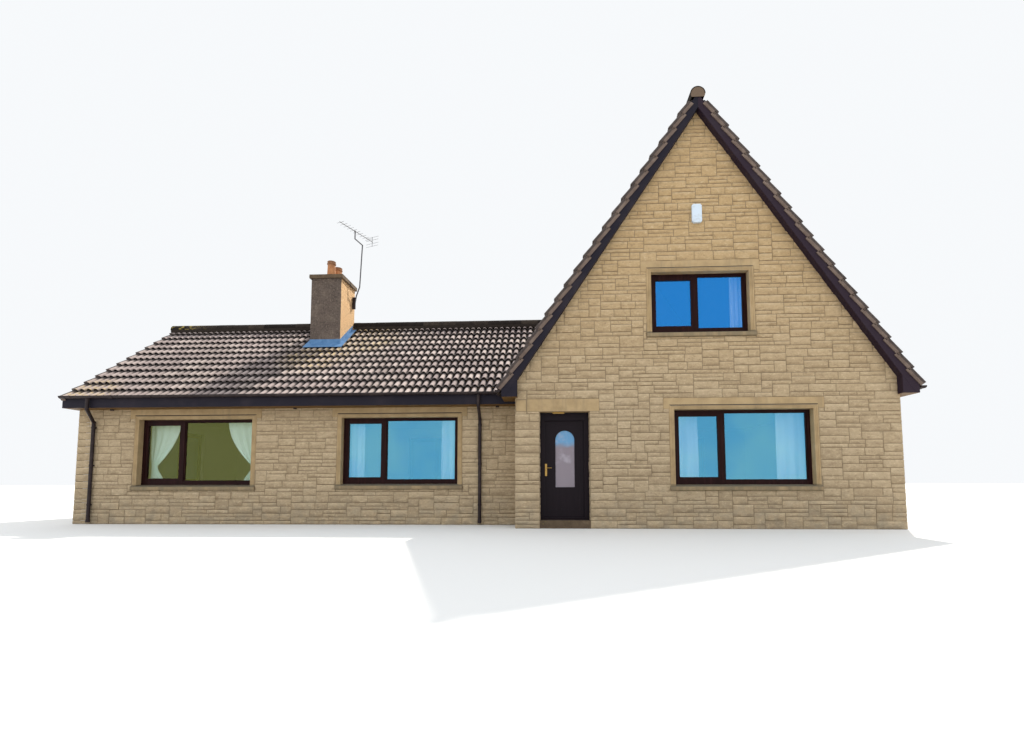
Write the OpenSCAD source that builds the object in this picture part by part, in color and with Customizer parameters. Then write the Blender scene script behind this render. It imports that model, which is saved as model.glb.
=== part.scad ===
// Detached stone house: a tall steep-gabled block with a lower wing beside it.
// Millimetres, +Z up. The base is on Z = 0 and the plan is centred on the origin.
// X runs along the front, Y runs from the front to the back.

/* [Plan] */
// width of the tall gabled block
gable_w = 7300; // [5000:10:10000]
// depth of the tall gabled block, wall face to wall face
gable_d = 7248; // [6000:2:9000]
// length of the low wing beside it
wing_w = 9720; // [7000:10:12000]
// how far the wing's walls stand back from the block's, front and rear
setback = 806; // [600:2:1200]
// thickness of every outer wall
wall_t = 300; // [200:10:400]
// ground floor level above the ground
floor_rise = 150; // [100:10:300]

/* [Storeys] */
// height of the roof's underside at the wall face
plate_z = 2677; // [2500:1:3200]
// depth of the upper floor's joists and boards
upper_floor_t = 250; // [150:10:350]
// thickness of the wing's ceiling
ceiling_t = 100; // [60:10:200]

/* [Gable roof] */
// pitch of the tall roof
gable_pitch = 56.4; // [50:0.1:60]
// depth of its rafters and boarding, square to the slope
gable_rafter_t = 163; // [100:1:200]
// reach of its eaves beyond the side wall
gable_eave = 266; // [150:1:400]
// underside of its boxed eaves above the floor
gable_box_z = 2393; // [2300:1:2450]

/* [Wing roof] */
// pitch of the low roof
wing_pitch = 36.5; // [30:0.1:42]
// depth of its rafters and boarding, square to the slope
wing_rafter_t = 86; // [70:1:150]
// reach of its eaves beyond the wall
wing_eave = 348; // [200:1:450]
// underside of its eaves above the floor
wing_box_z = 2345; // [2300:1:2400]

/* [Verges and boards] */
// reach of the tall roof's verge beyond the wall
verge = 171; // [100:1:300]
// reach of the wing's verge beyond its end wall
wing_verge = 80; // [60:1:200]
// thickness of bargeboards and fascias
board_t = 22; // [18:1:30]
// thickness of soffit boards
soffit_t = 12; // [9:1:18]
// width of a boxed end's foot measured in from the wall face
box_in = 36; // [20:1:80]
// width of the open joints between bargeboards
joint_w = 3; // [2:0.5:6]
// depth of those joints
joint_depth = 4; // [2:0.5:10]
// distance of a foot's slanting joint from its outer corner, along the underside
foot_joint_in = 66; // [40:1:100]

/* [Tiles] */
// height of a tile's tail above the boarding
tile_t = 105; // [90:1:130]
// drop from a tail to the head below the next course
tile_step = 25; // [10:1:40]
// distance from one course to the next
tile_gauge = 345; // [280:1:360]
// thickness of the tile that hangs past the fascia
tile_tail = 40; // [25:1:60]
// reach of the verge tiles past the bargeboard
tile_lip = 19; // [10:1:30]
// reach of the tall roof's tile tails past its fascia
gable_tail_reach = 114; // [80:1:130]
// reach of the wing's tile tails past its fascia
wing_tail_reach = 78; // [50:1:100]
// outside radius of a ridge tile
ridge_r = 150; // [110:1:170]
// thickness of a ridge tile
ridge_t = 18; // [14:1:30]
// thickness of the mortar that closes a ridge's end
end_fill_t = 25; // [15:1:50]
// how far that mortar lies behind the end tile's edge
end_fill_in = 6; // [2:1:15]
// how far the tall ridge tiles' edges stand up from the tiles on mortar
gable_bed = 21; // [10:1:60]
// how far the wing's ridge tiles' edges stand up from the tiles on mortar
wing_bed = 73; // [10:1:90]

/* [Rainwater] */
// outside radius of the half-round gutters
gutter_r = 56; // [45:1:65]
// thickness of the gutters' wall
gutter_t = 3; // [3:1:5]
// rim of the wing's gutters above the floor
wing_gutter_z = 2594; // [2570:1:2610]
// rim of the tall roof's gutters above the floor
gable_gutter_z = 2530; // [2500:1:2540]
// gap between the wing's gutters and their fascia
wing_gutter_gap = 4; // [3:1:20]
// gap between the tall roof's gutters and their fascia
gable_gutter_gap = 22; // [10:1:30]
// outside diameter of the downpipes
pipe_d = 70; // [60:1:80]
// gap between a downpipe and the wall
pipe_gap = 25; // [15:1:40]

/* [Chimney] */
// left face of the stack, from the block's left wall face
stack_x = -5445; // [-7000:5:-4500]
// width of the stack along the ridge
stack_w = 785; // [600:5:1000]
// distance of the stack's front face from the wing's ridge
stack_front = 994; // [950:2:1100]
// depth of the stack
stack_d = 910; // [700:5:950]
// top of the stack above the floor
stack_z = 5985; // [5700:5:6500]
// thickness of the cope
cope_t = 95; // [60:5:150]
// reach of the cope past the stack
cope_over = 45; // [20:5:80]
// height of the mortar round the pots
mortar_h = 55; // [30:1:90]
// how far that mortar slopes in from the stack's faces
mortar_in = 170; // [100:5:250]
// thickness of the lead flashing
lead_t = 4; // [3:0.5:6]
// height of its upstand on the stack
upstand_h = 120; // [75:5:150]
// diameter of the aerial's mast
mast_d = 32; // [25:1:50]
// top of the mast above the stack
mast_top = 1605; // [1200:5:1800]
// distance of the aerial's mast behind the stack's front face
mast_back = 760; // [700:5:850]
// height of the front pot above the cope
front_pot_h = 503; // [300:1:700]
// height of the rear pot above the cope
rear_pot_h = 460; // [300:1:700]
// outside radius of a pot's body at its foot
pot_r = 112; // [90:1:140]

/* [Windows] */
// width of a dressed surround
surround_w = 96; // [80:1:130]
// depth of the reveal in front of the window frame
reveal = 130; // [100:5:160]
// how far the surround's moulding stands proud of the wall
surround_proud = 24; // [10:1:40]
// height of a sill
sill_h = 112; // [80:1:140]
// reach of a sill past the wall face
sill_over = 48; // [30:1:80]
// height of the dressed stone over the doorway
door_lintel_h = 242; // [200:1:280]
// height of the dressed stones over a window
lintel_h = 211; // [150:1:300]
// how far those stones stand proud of the wall
lintel_proud = 12; // [0:1:20]
// depth of the window frames
frame_d = 80; // [60:1:100]
// width of the outer frame's jambs
frame_w = 64; // [50:1:80]
// thickness of the panes
pane_t = 20; // [14:1:28]

// distance of a curtain rail from the wall's inner face
rail_out = 50; // [40:1:80]

/* [Door] */
// left side of the doorway from the block's left wall face
door_x = 465; // [350:5:700]
// width of the doorway
door_w = 980; // [940:5:1100]
// height of the doorway above the floor
door_h = 2120; // [2060:5:2200]
// depth of the recess in front of the door frame
door_recess = 200; // [150:5:210]
// width of the door frame's jambs
jamb_w = 100; // [80:1:120]
// height of the door frame's head
door_head_h = 155; // [100:1:180]
// thickness of the door leaf
leaf_t = 44; // [40:1:50]
// running gap round the door leaf
leaf_gap = 7; // [6:1:9]
// height of the threshold above the floor
threshold_h = 43; // [25:1:60]
// overlap of the frame's stop on the leaf
stop_lap = 7; // [6:1:12]
// width of the arched pane
arch_w = 377; // [300:1:420]
// top of the arched pane above the floor
arch_top = 1765; // [1600:1:1800]
// bottom of the arched pane above the floor
arch_bottom = 640; // [500:1:900]
// diameter of the lever's shaft
spindle_d = 18; // [10:1:20]
// height of the lever above the floor
lever_z = 1022; // [950:1:1100]

/* [Fittings] */
// underside of the bell box on the gable above the floor
alarm_z = 5852; // [5600:1:6300]

/* [Hidden] */
$fn = 32;
eps = 1;
// seating clearance of timbers on sloping tops
seat_gap = 0.05;
// clearance between a pot and the mortar round it
pot_clear = 0.4;
// clearance between the tiles' tails and the gutters' ends
tail_gap = 2;
base_z = -floor_rise;
sg = tan(gable_pitch);
sw = tan(wing_pitch);
cg = cos(gable_pitch);
cw = cos(wing_pitch);
mid_x = gable_w / 2;
mid_y = gable_d / 2;
wing_y = setback;
wing_back = gable_d - setback;
apex_z = plate_z + mid_x * sg;
wing_apex_z = plate_z + (mid_y - wing_y) * sw;
fascia_y = wing_y - wing_eave;
stack_y = mid_y - stack_front;
mast_y = stack_y + mast_back;
gable_ridge_z = apex_z + (gable_rafter_t + tile_t) / cg - ridge_r * sg + gable_bed;
wing_ridge_z = wing_apex_z + (wing_rafter_t + tile_t) / cw - ridge_r * sw + wing_bed;
// windows: left, bottom, width, height
win_gable = [gable_w - 4228, 690, 2621, 1447];
win_upper = [mid_x - 966, 3682, 1895, 1195];
win_left = [-wing_w + 1383, 692, 2551, 1433];
win_right = [-3807, 709, 2521, 1425];
side_win = [mid_y - 900, 700, 1800, 1430];
// share of a window's width left of its mullion, downstairs and upstairs
share_low = 0.36;
share_up = 0.47;
lintel_left = door_x - 237;
lintel_right = door_x + door_w + 184;
inner_y = wing_y + wall_t;
total_w = wing_w + gable_w;
frame_y = reveal;
pane_y = reveal + 35;
leaf_l = door_x + jamb_w - stop_lap;
leaf_r = door_x + door_w - jamb_w + stop_lap;
leaf_top = door_h - door_head_h + stop_lap;
leaf_bottom = threshold_h - stop_lap;
leaf_y = wall_t - leaf_t;
hinge_x = leaf_r + 4;
hinge_y = wall_t + 9;
arch_x = leaf_r - (leaf_r - leaf_l) / 2 + 12;
lever_x = leaf_l + 31;
hinge_heights = [220, 960, 1720];

// moves the working frame (block's front left corner, floor level) to the house's own frame
module place() translate([wing_w - total_w / 2, -mid_y, floor_rise]) children();

// the same shape again on the rear, mirrored about the wing's ridge
module both_ends() {
    children();
    translate([0, gable_d, 0]) mirror([0, 1, 0]) children();
}

// a block from one corner to the other
module block(a, b) translate(a) cube(b - a);

// an outline in X and Z, running from y0 to y1
module along_y(y0, y1) translate([0, y1, 0]) rotate([90, 0, 0]) linear_extrude(y1 - y0) children();

// an outline in Y and Z, running from x0 to x1
module along_x(x0, x1) translate([x0, 0, 0]) rotate([90, 0, 90]) linear_extrude(x1 - x0) children();

// a round bar between two points
module rod(a, b, d) {
    v = b - a;
    n = norm(v);
    translate(a) rotate([0, acos(v[2] / n), atan2(v[1], v[0])]) cylinder(h = n, d = d);
}

// heights of the two roofs, n above the underside and square to the slope
function gz(x, n = 0) = apex_z - abs(x - mid_x) * sg + n / cg;
function wz(y, n = 0) = wing_apex_z - abs(y - mid_y) * sw + n / cw;

// floors
module ground_floor() color("#8a8578") place() {
    block([wall_t, wall_t, base_z], [gable_w - wall_t, gable_d - wall_t, 0]);
    block([-wing_w + wall_t, inner_y, base_z], [wall_t + eps, gable_d - inner_y, 0]);
    block([door_x, 0, base_z], [door_x + door_w, wall_t + eps, 0]);
}

module first_floor() color("#b59a72") place() {
    z0 = plate_z - upper_floor_t;
    block([wall_t, wall_t, z0], [gable_w - wall_t, gable_d - wall_t, plate_z]);
    block([0, inner_y, z0], [wall_t + eps, gable_d - inner_y, plate_z]);
}

module wing_ceiling() color("#ddd8cc") place() {
    z0 = plate_z - upper_floor_t;
    block([-wing_w + wall_t, inner_y, z0], [0, gable_d - inner_y, z0 + ceiling_t]);
}

// walls
// the hole for a window and the seat for its surround; w is [left, bottom, width, height]
module window_hole(w, h = lintel_h) {
    block([w[0], -eps, w[1]], [w[0] + w[2], wall_t + eps, w[1] + w[3]]);
    block(
        [w[0] - surround_w, -eps, w[1] - sill_h],
        [w[0] + w[2] + surround_w, reveal, w[1] + w[3] + surround_w]
    );
    block(
        [w[0] - 2 * surround_w - 12, -eps, w[1] + w[3] + 14],
        [w[0] + w[2] + 2 * surround_w + 12, reveal, w[1] + w[3] + 14 + h]
    );
}

// under the wing's low eaves the stones over a window stop at the soffit
function low_lintel(w) = wing_box_z - w[1] - w[3] - 14;

module front_outline() polygon([
    [0, base_z], [gable_w, base_z], [gable_w, plate_z], [mid_x, apex_z], [0, plate_z]
]);

// the front wall beside the doorway ends at its head, and the wall over it carries the lintel
module front_wall_left() color("#c9b48a") place() block([0, 0, base_z], [door_x, wall_t, door_h]);

module front_wall_right() color("#c9b48a") place() difference() {
    block([door_x + door_w, 0, base_z], [gable_w, wall_t, door_h]);
    window_hole(win_gable);
}

module front_wall_upper() color("#c9b48a") place() difference() {
    along_y(0, wall_t) intersection() {
        front_outline();
        translate([0, door_h]) square([gable_w, apex_z]);
    }
    block([lintel_left, -eps, door_h - eps], [lintel_right, wall_t + eps, door_h + door_lintel_h]);
    window_hole(win_gable);
    window_hole(win_upper);
}

module gable_rear_wall() color("#c9b48a") place() difference() {
    along_y(gable_d - wall_t, gable_d) front_outline();
    translate([0, gable_d, 0]) mirror([0, 1, 0]) {
        window_hole(win_gable);
        window_hole(win_upper);
    }
}

module return_walls() color("#c9b48a") place() both_ends() along_y(wall_t, inner_y) polygon([
    [0, base_z], [wall_t, base_z], [wall_t, gz(wall_t)], [0, plate_z]
]);

module on_right_wall() translate([gable_w, 0, 0]) rotate([0, 0, 90]) children();
module on_wing_end() translate([-wing_w, gable_d, 0]) rotate([0, 0, -90]) children();

module gable_right_wall() color("#c9b48a") place() difference() {
    along_y(wall_t, gable_d - wall_t) polygon([
        [gable_w - wall_t, base_z], [gable_w, base_z],
        [gable_w, plate_z], [gable_w - wall_t, gz(gable_w - wall_t)]
    ]);
    on_right_wall() window_hole(side_win);
}

module wing_long_wall() translate([0, wing_y, 0]) difference() {
    translate([0, -wing_y, 0]) along_x(-wing_w + wall_t, 0) polygon([
        [wing_y, base_z], [inner_y, base_z], [inner_y, wz(inner_y)], [wing_y, plate_z]
    ]);
    window_hole(win_left, low_lintel(win_left));
    window_hole(win_right, low_lintel(win_right));
}

module wing_front_wall() color("#c9b48a") place() wing_long_wall();
module wing_rear_wall() color("#c9b48a") place()
    translate([0, gable_d, 0]) mirror([0, 1, 0]) wing_long_wall();

module wing_end_wall() color("#c9b48a") place() difference() {
    along_x(-wing_w, -wing_w + wall_t) polygon([
        [wing_y, base_z], [wing_back, base_z], [wing_back, plate_z], [mid_y, wing_apex_z], [wing_y, plate_z]
    ]);
    on_wing_end() window_hole(side_win);
}

// roof timbers
// half of the tall roof's timbers: the foot is cut level over the boxed eaves
module gable_deck_outline(n0) {
    foot = -gable_eave + board_t;
    seat = gable_box_z + soffit_t;
    x_seat = mid_x - (apex_z + n0 / cg - seat) / sg;
    polygon([
        [foot, seat], [x_seat, seat], [mid_x, gz(mid_x, n0)],
        [gable_w - x_seat, seat], [gable_w - foot, seat],
        [gable_w - foot, gz(foot, gable_rafter_t)], [mid_x, gz(mid_x, gable_rafter_t)],
        [foot, gz(foot, gable_rafter_t)]
    ]);
}

// what lies inside the wing, left of the block's wall and under the wing's roof timbers
module under_wing(x1) along_x(-wing_w - 500, x1) polygon([
    [wing_y, base_z], [wing_back, base_z], [wing_back, plate_z + seat_gap],
    [mid_y, wing_apex_z + seat_gap], [wing_y, plate_z + seat_gap]
]);

// the wedge below the tall roof's left slope, n above its underside
module under_gable_slope(n) along_y(-500, gable_d + 500) polygon([
    [-wing_w, gz(-wing_w, n)], [mid_x, gz(mid_x, n)], [mid_x + 3000, gz(mid_x, n)],
    [mid_x + 3000, base_z - 9000], [-wing_w, base_z - 9000 - wing_w * sg]
]);

module chimney_space() block(
    [stack_x, stack_y, plate_z - upper_floor_t + ceiling_t], [stack_x + stack_w, stack_y + stack_d, stack_z]
);

module gable_roof_deck() color("#8c6f4e") place() difference() {
    union() {
        along_y(0, gable_d) gable_deck_outline(seat_gap);
        both_ends() along_y(board_t - verge, eps) gable_deck_outline(soffit_t + seat_gap);
    }
    under_wing(0);
}

// the wing's timbers from fascia to fascia, n0 above the underside
module wing_slab(x0, x1, n0) {
    n1 = wing_rafter_t;
    y0 = fascia_y + board_t;
    along_x(x0, x1) polygon([
        [y0, wz(y0, n0)], [mid_y, wz(mid_y, n0)], [gable_d - y0, wz(y0, n0)],
        [gable_d - y0, wz(y0, n1)], [mid_y, wz(mid_y, n1)], [y0, wz(y0, n1)]
    ]);
}

module wing_roof_deck() color("#8c6f4e") place() difference() {
    union() {
        wing_slab(-wing_w, mid_x, seat_gap);
        wing_slab(-wing_w - wing_verge + board_t, -wing_w + eps, soffit_t + seat_gap);
    }
    under_gable_slope(gable_rafter_t);
    chimney_space();
}

// roof covering
// one course of tiles after another: [distance down the slope, height above the boarding]
function courses(u0, n) =
    [for (k = [0:n - 1], e = [0, 1]) [u0 - (k + e) * tile_gauge, tile_t - e * tile_step]];

// a point on a slope: u down from the ridge, h square above the timbers' underside
function on_slope(u, h, pitch, top) =
    [-u * cos(pitch) - h * sin(pitch), top - u * sin(pitch) + h * cos(pitch)];

// half of a roof's covering, left of its ridge line at 0: fascia is the fascia's distance from it,
// reach how far the tails go past the fascia and open the width left for a fascia behind the tails
module covering_half(pitch, top, rafter, fascia, reach, open) {
    h1 = rafter + tile_t;
    u0 = (fascia + reach - h1 * sin(pitch)) / cos(pitch);
    n = floor(u0 / tile_gauge) + 2;
    difference() {
        polygon(concat(
            [[0, top + rafter / cos(pitch)]],
            [[open - fascia, top + rafter / cos(pitch) - (fascia - open) * tan(pitch)]],
            [[open - fascia, top + (h1 - tile_tail) / cos(pitch) - (fascia - open) * tan(pitch)]],
            [on_slope(u0, h1 - tile_tail, pitch, top)],
            [for (c = courses(u0, n)) on_slope(c[0], rafter + c[1], pitch, top)],
            [[4000, top + 4000 * tan(pitch)], [4000, top - 4000]]
        ));
        translate([0, -1000]) square([9000, top + 20000]);
    }
}

module covering(pitch, top, rafter, fascia, reach, edge_z, open = 0) difference() {
    union() {
        covering_half(pitch, top, rafter, fascia, reach, open);
        mirror([1, 0]) covering_half(pitch, top, rafter, fascia, reach, open);
    }
    translate([-ridge_r, edge_z]) square([2 * ridge_r, 1000]);
}

module gable_covering() covering(
    gable_pitch, apex_z, gable_rafter_t, mid_x + gable_eave, gable_tail_reach, gable_ridge_z
);

module wing_covering() covering(
    wing_pitch, wing_apex_z, wing_rafter_t, mid_y - fascia_y, wing_tail_reach, wing_ridge_z, board_t
);

// the outline of the wing's timbers and fascias, down to the ground
module wing_core() {
    n = wing_rafter_t + tile_t - tile_tail;
    in_y = fascia_y + board_t;
    polygon([
        [fascia_y, base_z], [gable_d - fascia_y, base_z], [gable_d - fascia_y, wz(fascia_y, n)],
        [gable_d - in_y, wz(in_y, n)], [gable_d - in_y, wz(in_y, wing_rafter_t)],
        [mid_y, wz(mid_y, wing_rafter_t)],
        [in_y, wz(in_y, wing_rafter_t)], [in_y, wz(in_y, n)], [fascia_y, wz(fascia_y, n)]
    ]);
}

module gable_roof_tiles() color("#6e5a4c") place() difference() {
    along_y(-verge - tile_lip, gable_d + verge + tile_lip) translate([mid_x, 0])
        gable_covering();
    along_x(-wing_w, mid_x) wing_core();
}

module wing_roof_tiles() color("#6e5a4c") place() difference() {
    along_x(-wing_w - wing_verge - tile_lip, mid_x) translate([mid_y, 0])
        wing_covering();
    under_gable_slope(gable_rafter_t + tile_t);
    chimney_space();
}

module ridge_outline() {
    difference() {
        circle(r = ridge_r, $fn = 48);
        circle(r = ridge_r - ridge_t, $fn = 48);
        translate([-ridge_r - eps, -ridge_r - eps]) square([2 * ridge_r + 2 * eps, ridge_r + eps]);
    }
}

// ridge tiles with the mortar under their edges, before the covering is taken out of it
module bedded_ridge(edge_z) {
    translate([0, edge_z]) ridge_outline();
    for (s = [-1, 1]) translate([s * (ridge_r - ridge_t / 2) - ridge_t / 2, edge_z - ridge_r])
        square([ridge_t, ridge_r]);
}

// the mortar that closes a ridge's end, down to below the tiles, before the covering is taken out
module ridge_end(edge_z) translate([0, edge_z]) {
    r = ridge_r - ridge_t / 2;
    circle(r = r, $fn = 48);
    translate([-r, -ridge_r]) square([2 * r, ridge_r]);
}

module gable_ridge_tiles() color("#5b4436") place() {
    y0 = -verge - tile_lip;
    difference() {
        union() {
            along_y(y0, gable_d - y0) translate([mid_x, 0]) bedded_ridge(gable_ridge_z);
            both_ends() along_y(y0 + end_fill_in, y0 + end_fill_in + end_fill_t)
                translate([mid_x, 0]) ridge_end(gable_ridge_z);
        }
        along_y(y0 - eps, gable_d - y0 + eps) {
            translate([mid_x, 0]) gable_covering();
            gable_deck_outline(0);
        }
    }
}

module wing_ridge_tiles() color("#5b4436") place() difference() {
    x0 = -wing_w - wing_verge - tile_lip - 2;
    union() {
        along_x(x0, mid_x) translate([mid_y, 0]) bedded_ridge(wing_ridge_z);
        along_x(x0 + end_fill_in, x0 + end_fill_in + end_fill_t)
            translate([mid_y, 0]) ridge_end(wing_ridge_z);
    }
    along_x(-wing_w - 500, mid_x + eps) translate([mid_y, 0]) wing_covering();
    along_x(-wing_w - 500, mid_x + eps) wing_core();
    under_gable_slope(gable_rafter_t + tile_t);
    chimney_space();
}

// boards
// the board along both slopes of a gable and its two boxed feet
// half is the wall's half width, out the eaves' reach, in the foot's inner side
module barge_outline(pitch, top, n1, half, out, in, foot_z) difference() {
    polygon([
        [-half - out, foot_z], [-half + in, foot_z], [-half + in, top - (half - in) * tan(pitch)], [0, top],
        [half - in, top - (half - in) * tan(pitch)], [half - in, foot_z], [half + out, foot_z],
        [half + out, top + n1 / cos(pitch) - (half + out) * tan(pitch)], [0, top + n1 / cos(pitch)],
        [-half - out, top + n1 / cos(pitch) - (half + out) * tan(pitch)]
    ]);
}

// a joint between two boards, open for joint_w along the line from a to b
module board_joint(a, b) {
    n = [a[1] - b[1], b[0] - a[0]] / norm(b - a) * joint_w / 2;
    polygon([a + n, b + n, b - n, a - n]);
}

// the joints that show on a gable's boards: upright at the apex and slanting across each foot
module bargeboards() color("#23202f") place() both_ends() difference() {
    along_y(-verge, board_t - verge) translate([mid_x, 0]) barge_outline(
        gable_pitch, apex_z, gable_rafter_t, mid_x, gable_eave, box_in, gable_box_z
    );
    along_y(-verge - eps, joint_depth - verge) translate([mid_x, 0]) {
        board_joint([0, apex_z - eps], [0, gz(mid_x, gable_rafter_t) + eps]);
        for (s = [-1, 1]) board_joint(
            [s * (mid_x - box_in), gz(box_in)], [s * (mid_x + gable_eave - foot_joint_in), gable_box_z - eps]
        );
    }
}

// the boards under a verge: level at the feet, up the feet's inner cheeks, then up both slopes
module verge_soffit_outline(pitch, top, half, out, in, foot_z) {
    t = soffit_t;
    polygon([
        [-half - out, foot_z], [-half + in, foot_z], [-half + in, top - (half - in) * tan(pitch)], [0, top],
        [half - in, top - (half - in) * tan(pitch)], [half - in, foot_z], [half + out, foot_z],
        [half + out, foot_z + t], [half - in + t, foot_z + t],
        [half - in + t, top + t / cos(pitch) - (half - in + t) * tan(pitch)], [0, top + t / cos(pitch)],
        [-half + in - t, top + t / cos(pitch) - (half - in + t) * tan(pitch)], [-half + in - t, foot_z + t],
        [-half - out, foot_z + t]
    ]);
}

module verge_soffits() color("#6b4a35") place() both_ends() along_y(board_t - verge, 0)
    translate([mid_x, 0]) verge_soffit_outline(
        gable_pitch, apex_z, mid_x, gable_eave - board_t, box_in, gable_box_z
    );

module wing_bargeboard() color("#23202f") place()
    along_x(-wing_w - wing_verge, -wing_w - wing_verge + board_t) translate([mid_y, 0]) barge_outline(
        wing_pitch, wing_apex_z, wing_rafter_t, mid_y - wing_y, wing_eave, box_in, wing_box_z
    );

module wing_verge_soffit() color("#6b4a35") place()
    along_x(-wing_w - wing_verge + board_t, -wing_w) translate([mid_y, 0]) verge_soffit_outline(
        wing_pitch, wing_apex_z, mid_y - wing_y, wing_eave - board_t, box_in, wing_box_z
    );

// a fascia along the tall roof's eaves at x = 0 on its outer face, its top cut to the slope
module gable_fascia() {
    z1 = gz(-gable_eave, gable_rafter_t);
    polygon([[0, gable_box_z], [board_t, gable_box_z], [board_t, z1 + board_t * sg], [0, z1]]);
}

module gable_eaves_boards() color("#23202f") place() {
    // the right side, whole length
    along_y(board_t - verge, gable_d + verge - board_t)
        translate([gable_w + gable_eave, 0]) mirror([1, 0]) gable_fascia();
    block([gable_w, 0, gable_box_z], [gable_w + gable_eave - board_t + eps, gable_d, gable_box_z + soffit_t]);
    // the short runs in front of the wing and behind it
    both_ends() {
        along_y(board_t - verge, fascia_y) translate([-gable_eave, 0]) gable_fascia();
        block([-gable_eave + board_t - eps, 0, gable_box_z], [0, fascia_y, gable_box_z + soffit_t]);
    }
}

module wing_eaves_boards() color("#23202f") place() both_ends() {
    n = wing_rafter_t + tile_t - tile_tail;
    x0 = -wing_w - wing_verge + board_t;
    in_y = fascia_y + board_t;
    along_x(x0, -gable_eave + board_t) polygon([
        [fascia_y, wing_box_z], [in_y, wing_box_z], [in_y, wz(in_y, n)], [fascia_y, wz(fascia_y, n)]
    ]);
    block([x0, fascia_y, wing_box_z], [0, in_y, gable_box_z]);
    block([-wing_w, fascia_y, wing_box_z], [0, wing_y, wing_box_z + soffit_t]);
}

// rainwater
module gutter_outline() difference() {
    circle(r = gutter_r);
    circle(r = gutter_r - gutter_t);
    translate([-gutter_r - eps, 0]) square([2 * gutter_r + 2 * eps, gutter_r + eps]);
}

// a run of gutter along X with end caps and brackets, its rim at z, its back face to the fascia at y
module gutter_run(x0, x1, y, gap, rim) {
    along_x(x0, x1) translate([y - gap - gutter_r, rim]) gutter_outline();
    for (x = [x0, x1 - gutter_t]) along_x(x, x + gutter_t) translate([y - gap - gutter_r, rim])
        intersection() {
            circle(r = gutter_r);
            translate([-gutter_r, -gutter_r]) square([2 * gutter_r, gutter_r]);
        }
    n = max(2, round((x1 - x0) / 1000));
    for (k = [0:n - 1]) {
        x = x0 + 120 + k * (x1 - x0 - 240) / (n - 1);
        along_x(x - 15, x + 15) difference() {
            union() {
                translate([y - gap - gutter_r, rim]) circle(r = gutter_r + 4);
                translate([y - gap - gutter_r, rim - gutter_r]) square([gap + gutter_r, gutter_r]);
            }
            translate([y - gap - gutter_r, rim]) circle(r = gutter_r - gutter_t / 2);
            translate([y - gap - 3 * gutter_r, rim]) square([gap + 3 * gutter_r, 3 * gutter_r]);
        }
    }
}

module gutters() color("#33272b") place() {
    x1 = -gable_eave - 120;
    both_ends() difference() {
        gutter_run(-wing_w - wing_verge, x1, fascia_y, wing_gutter_gap, wing_gutter_z);
        // the ends stop under the tiles' tails
        translate([0, mid_y, -tail_gap]) along_x(-wing_w - wing_verge - eps, x1 + eps) wing_covering();
    }
    translate([gable_w + gable_eave, 0, 0]) rotate([0, 0, 90])
        gutter_run(-verge, gable_d + verge, 0, gable_gutter_gap, gable_gutter_z);
    both_ends() translate([-gable_eave, 0, 0]) rotate([0, 0, -90])
        gutter_run(-fascia_y + 130, verge, 0, gable_gutter_gap, gable_gutter_z);
}

// outlet under a gutter, neck back under the eaves' soffit and pipe down the wall; x is at the pipe
module downpipe(x, x_out, y_out, rim, soffit_z, y_wall) {
    y = y_wall - pipe_gap - pipe_d / 2;
    z1 = soffit_z - pipe_d / 2;
    z2 = z1 - 250;
    translate([x_out, y_out, z1]) cylinder(h = rim - gutter_r - z1, d = pipe_d);
    rod([x_out, y_out, z1], [x, y, z2], pipe_d);
    translate([x_out, y_out, z1]) sphere(d = pipe_d + 8);
    translate([x, y, z2]) sphere(d = pipe_d + 8);
    translate([x, y, base_z + 60]) cylinder(h = z2 - base_z - 60, d = pipe_d);
    translate([x, y, base_z + 40]) cylinder(h = 60, d = pipe_d + 12);
    for (z = [250, 1100, z2 - 130]) {
        translate([x, y, z]) cylinder(h = 40, d = pipe_d + 12);
        block([x - 30, y, z], [x + 30, y_wall, z + 40]);
    }
}

module downpipes() color("#33272b") place() {
    y_out = fascia_y - wing_gutter_gap - gutter_r;
    both_ends() {
        downpipe(-805, -792, y_out, wing_gutter_z, wing_box_z, wing_y);
        downpipe(-wing_w + 384, -wing_w + 533, y_out, wing_gutter_z, wing_box_z, wing_y);
    }
    x = gable_d - 500;
    translate([gable_w, 0, 0]) rotate([0, 0, 90])
        downpipe(x, x, -gable_eave - gable_gutter_gap - gutter_r, gable_gutter_z, gable_box_z, 0);
}

// chimney
module chimney_stack() color("#7b6f60") place() chimney_space();

// where the pots stand on the cope
front_pot_at = [stack_x + 350, stack_y + 370, stack_z + cope_t];
rear_pot_at = [stack_x + 395, stack_y + 690, stack_z + cope_t];

// the slab with mortar weathered up round the pots
module chimney_cope() color("#8f8677") place() {
    x1 = stack_x + stack_w;
    y1 = stack_y + stack_d;
    z = stack_z + cope_t;
    block([stack_x - cope_over, stack_y - cope_over, stack_z], [x1 + cope_over, y1 + cope_over, z]);
    difference() {
        intersection() {
            along_y(stack_y, y1) weathering(stack_x, x1, z);
            along_x(stack_x, x1) weathering(stack_y, y1, z);
        }
        for (at = [front_pot_at, rear_pot_at])
            translate(at) cylinder(h = mortar_h + eps, r = pot_r + pot_clear, $fn = 40);
    }
}

module weathering(a, b, z) polygon([
    [a, z - eps], [b, z - eps], [b, z], [b - mortar_in, z + mortar_h], [a + mortar_in, z + mortar_h], [a, z]
]);

module pot(h) rotate_extrude($fn = 40) polygon([
    [pot_r - 24, 0], [pot_r, 0], [pot_r - 10, h * 0.55], [pot_r - 14, h - 90], [pot_r + 2, h - 78],
    [pot_r + 2, h - 58], [pot_r - 10, h - 46], [pot_r - 4, h - 8], [pot_r - 8, h],
    [pot_r - 26, h], [pot_r - 36, h - 60]
]);

module chimney_pots() color("#a65b34") place() {
    translate(front_pot_at) pot(front_pot_h);
    translate(rear_pot_at) pot(rear_pot_h);
}

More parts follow.
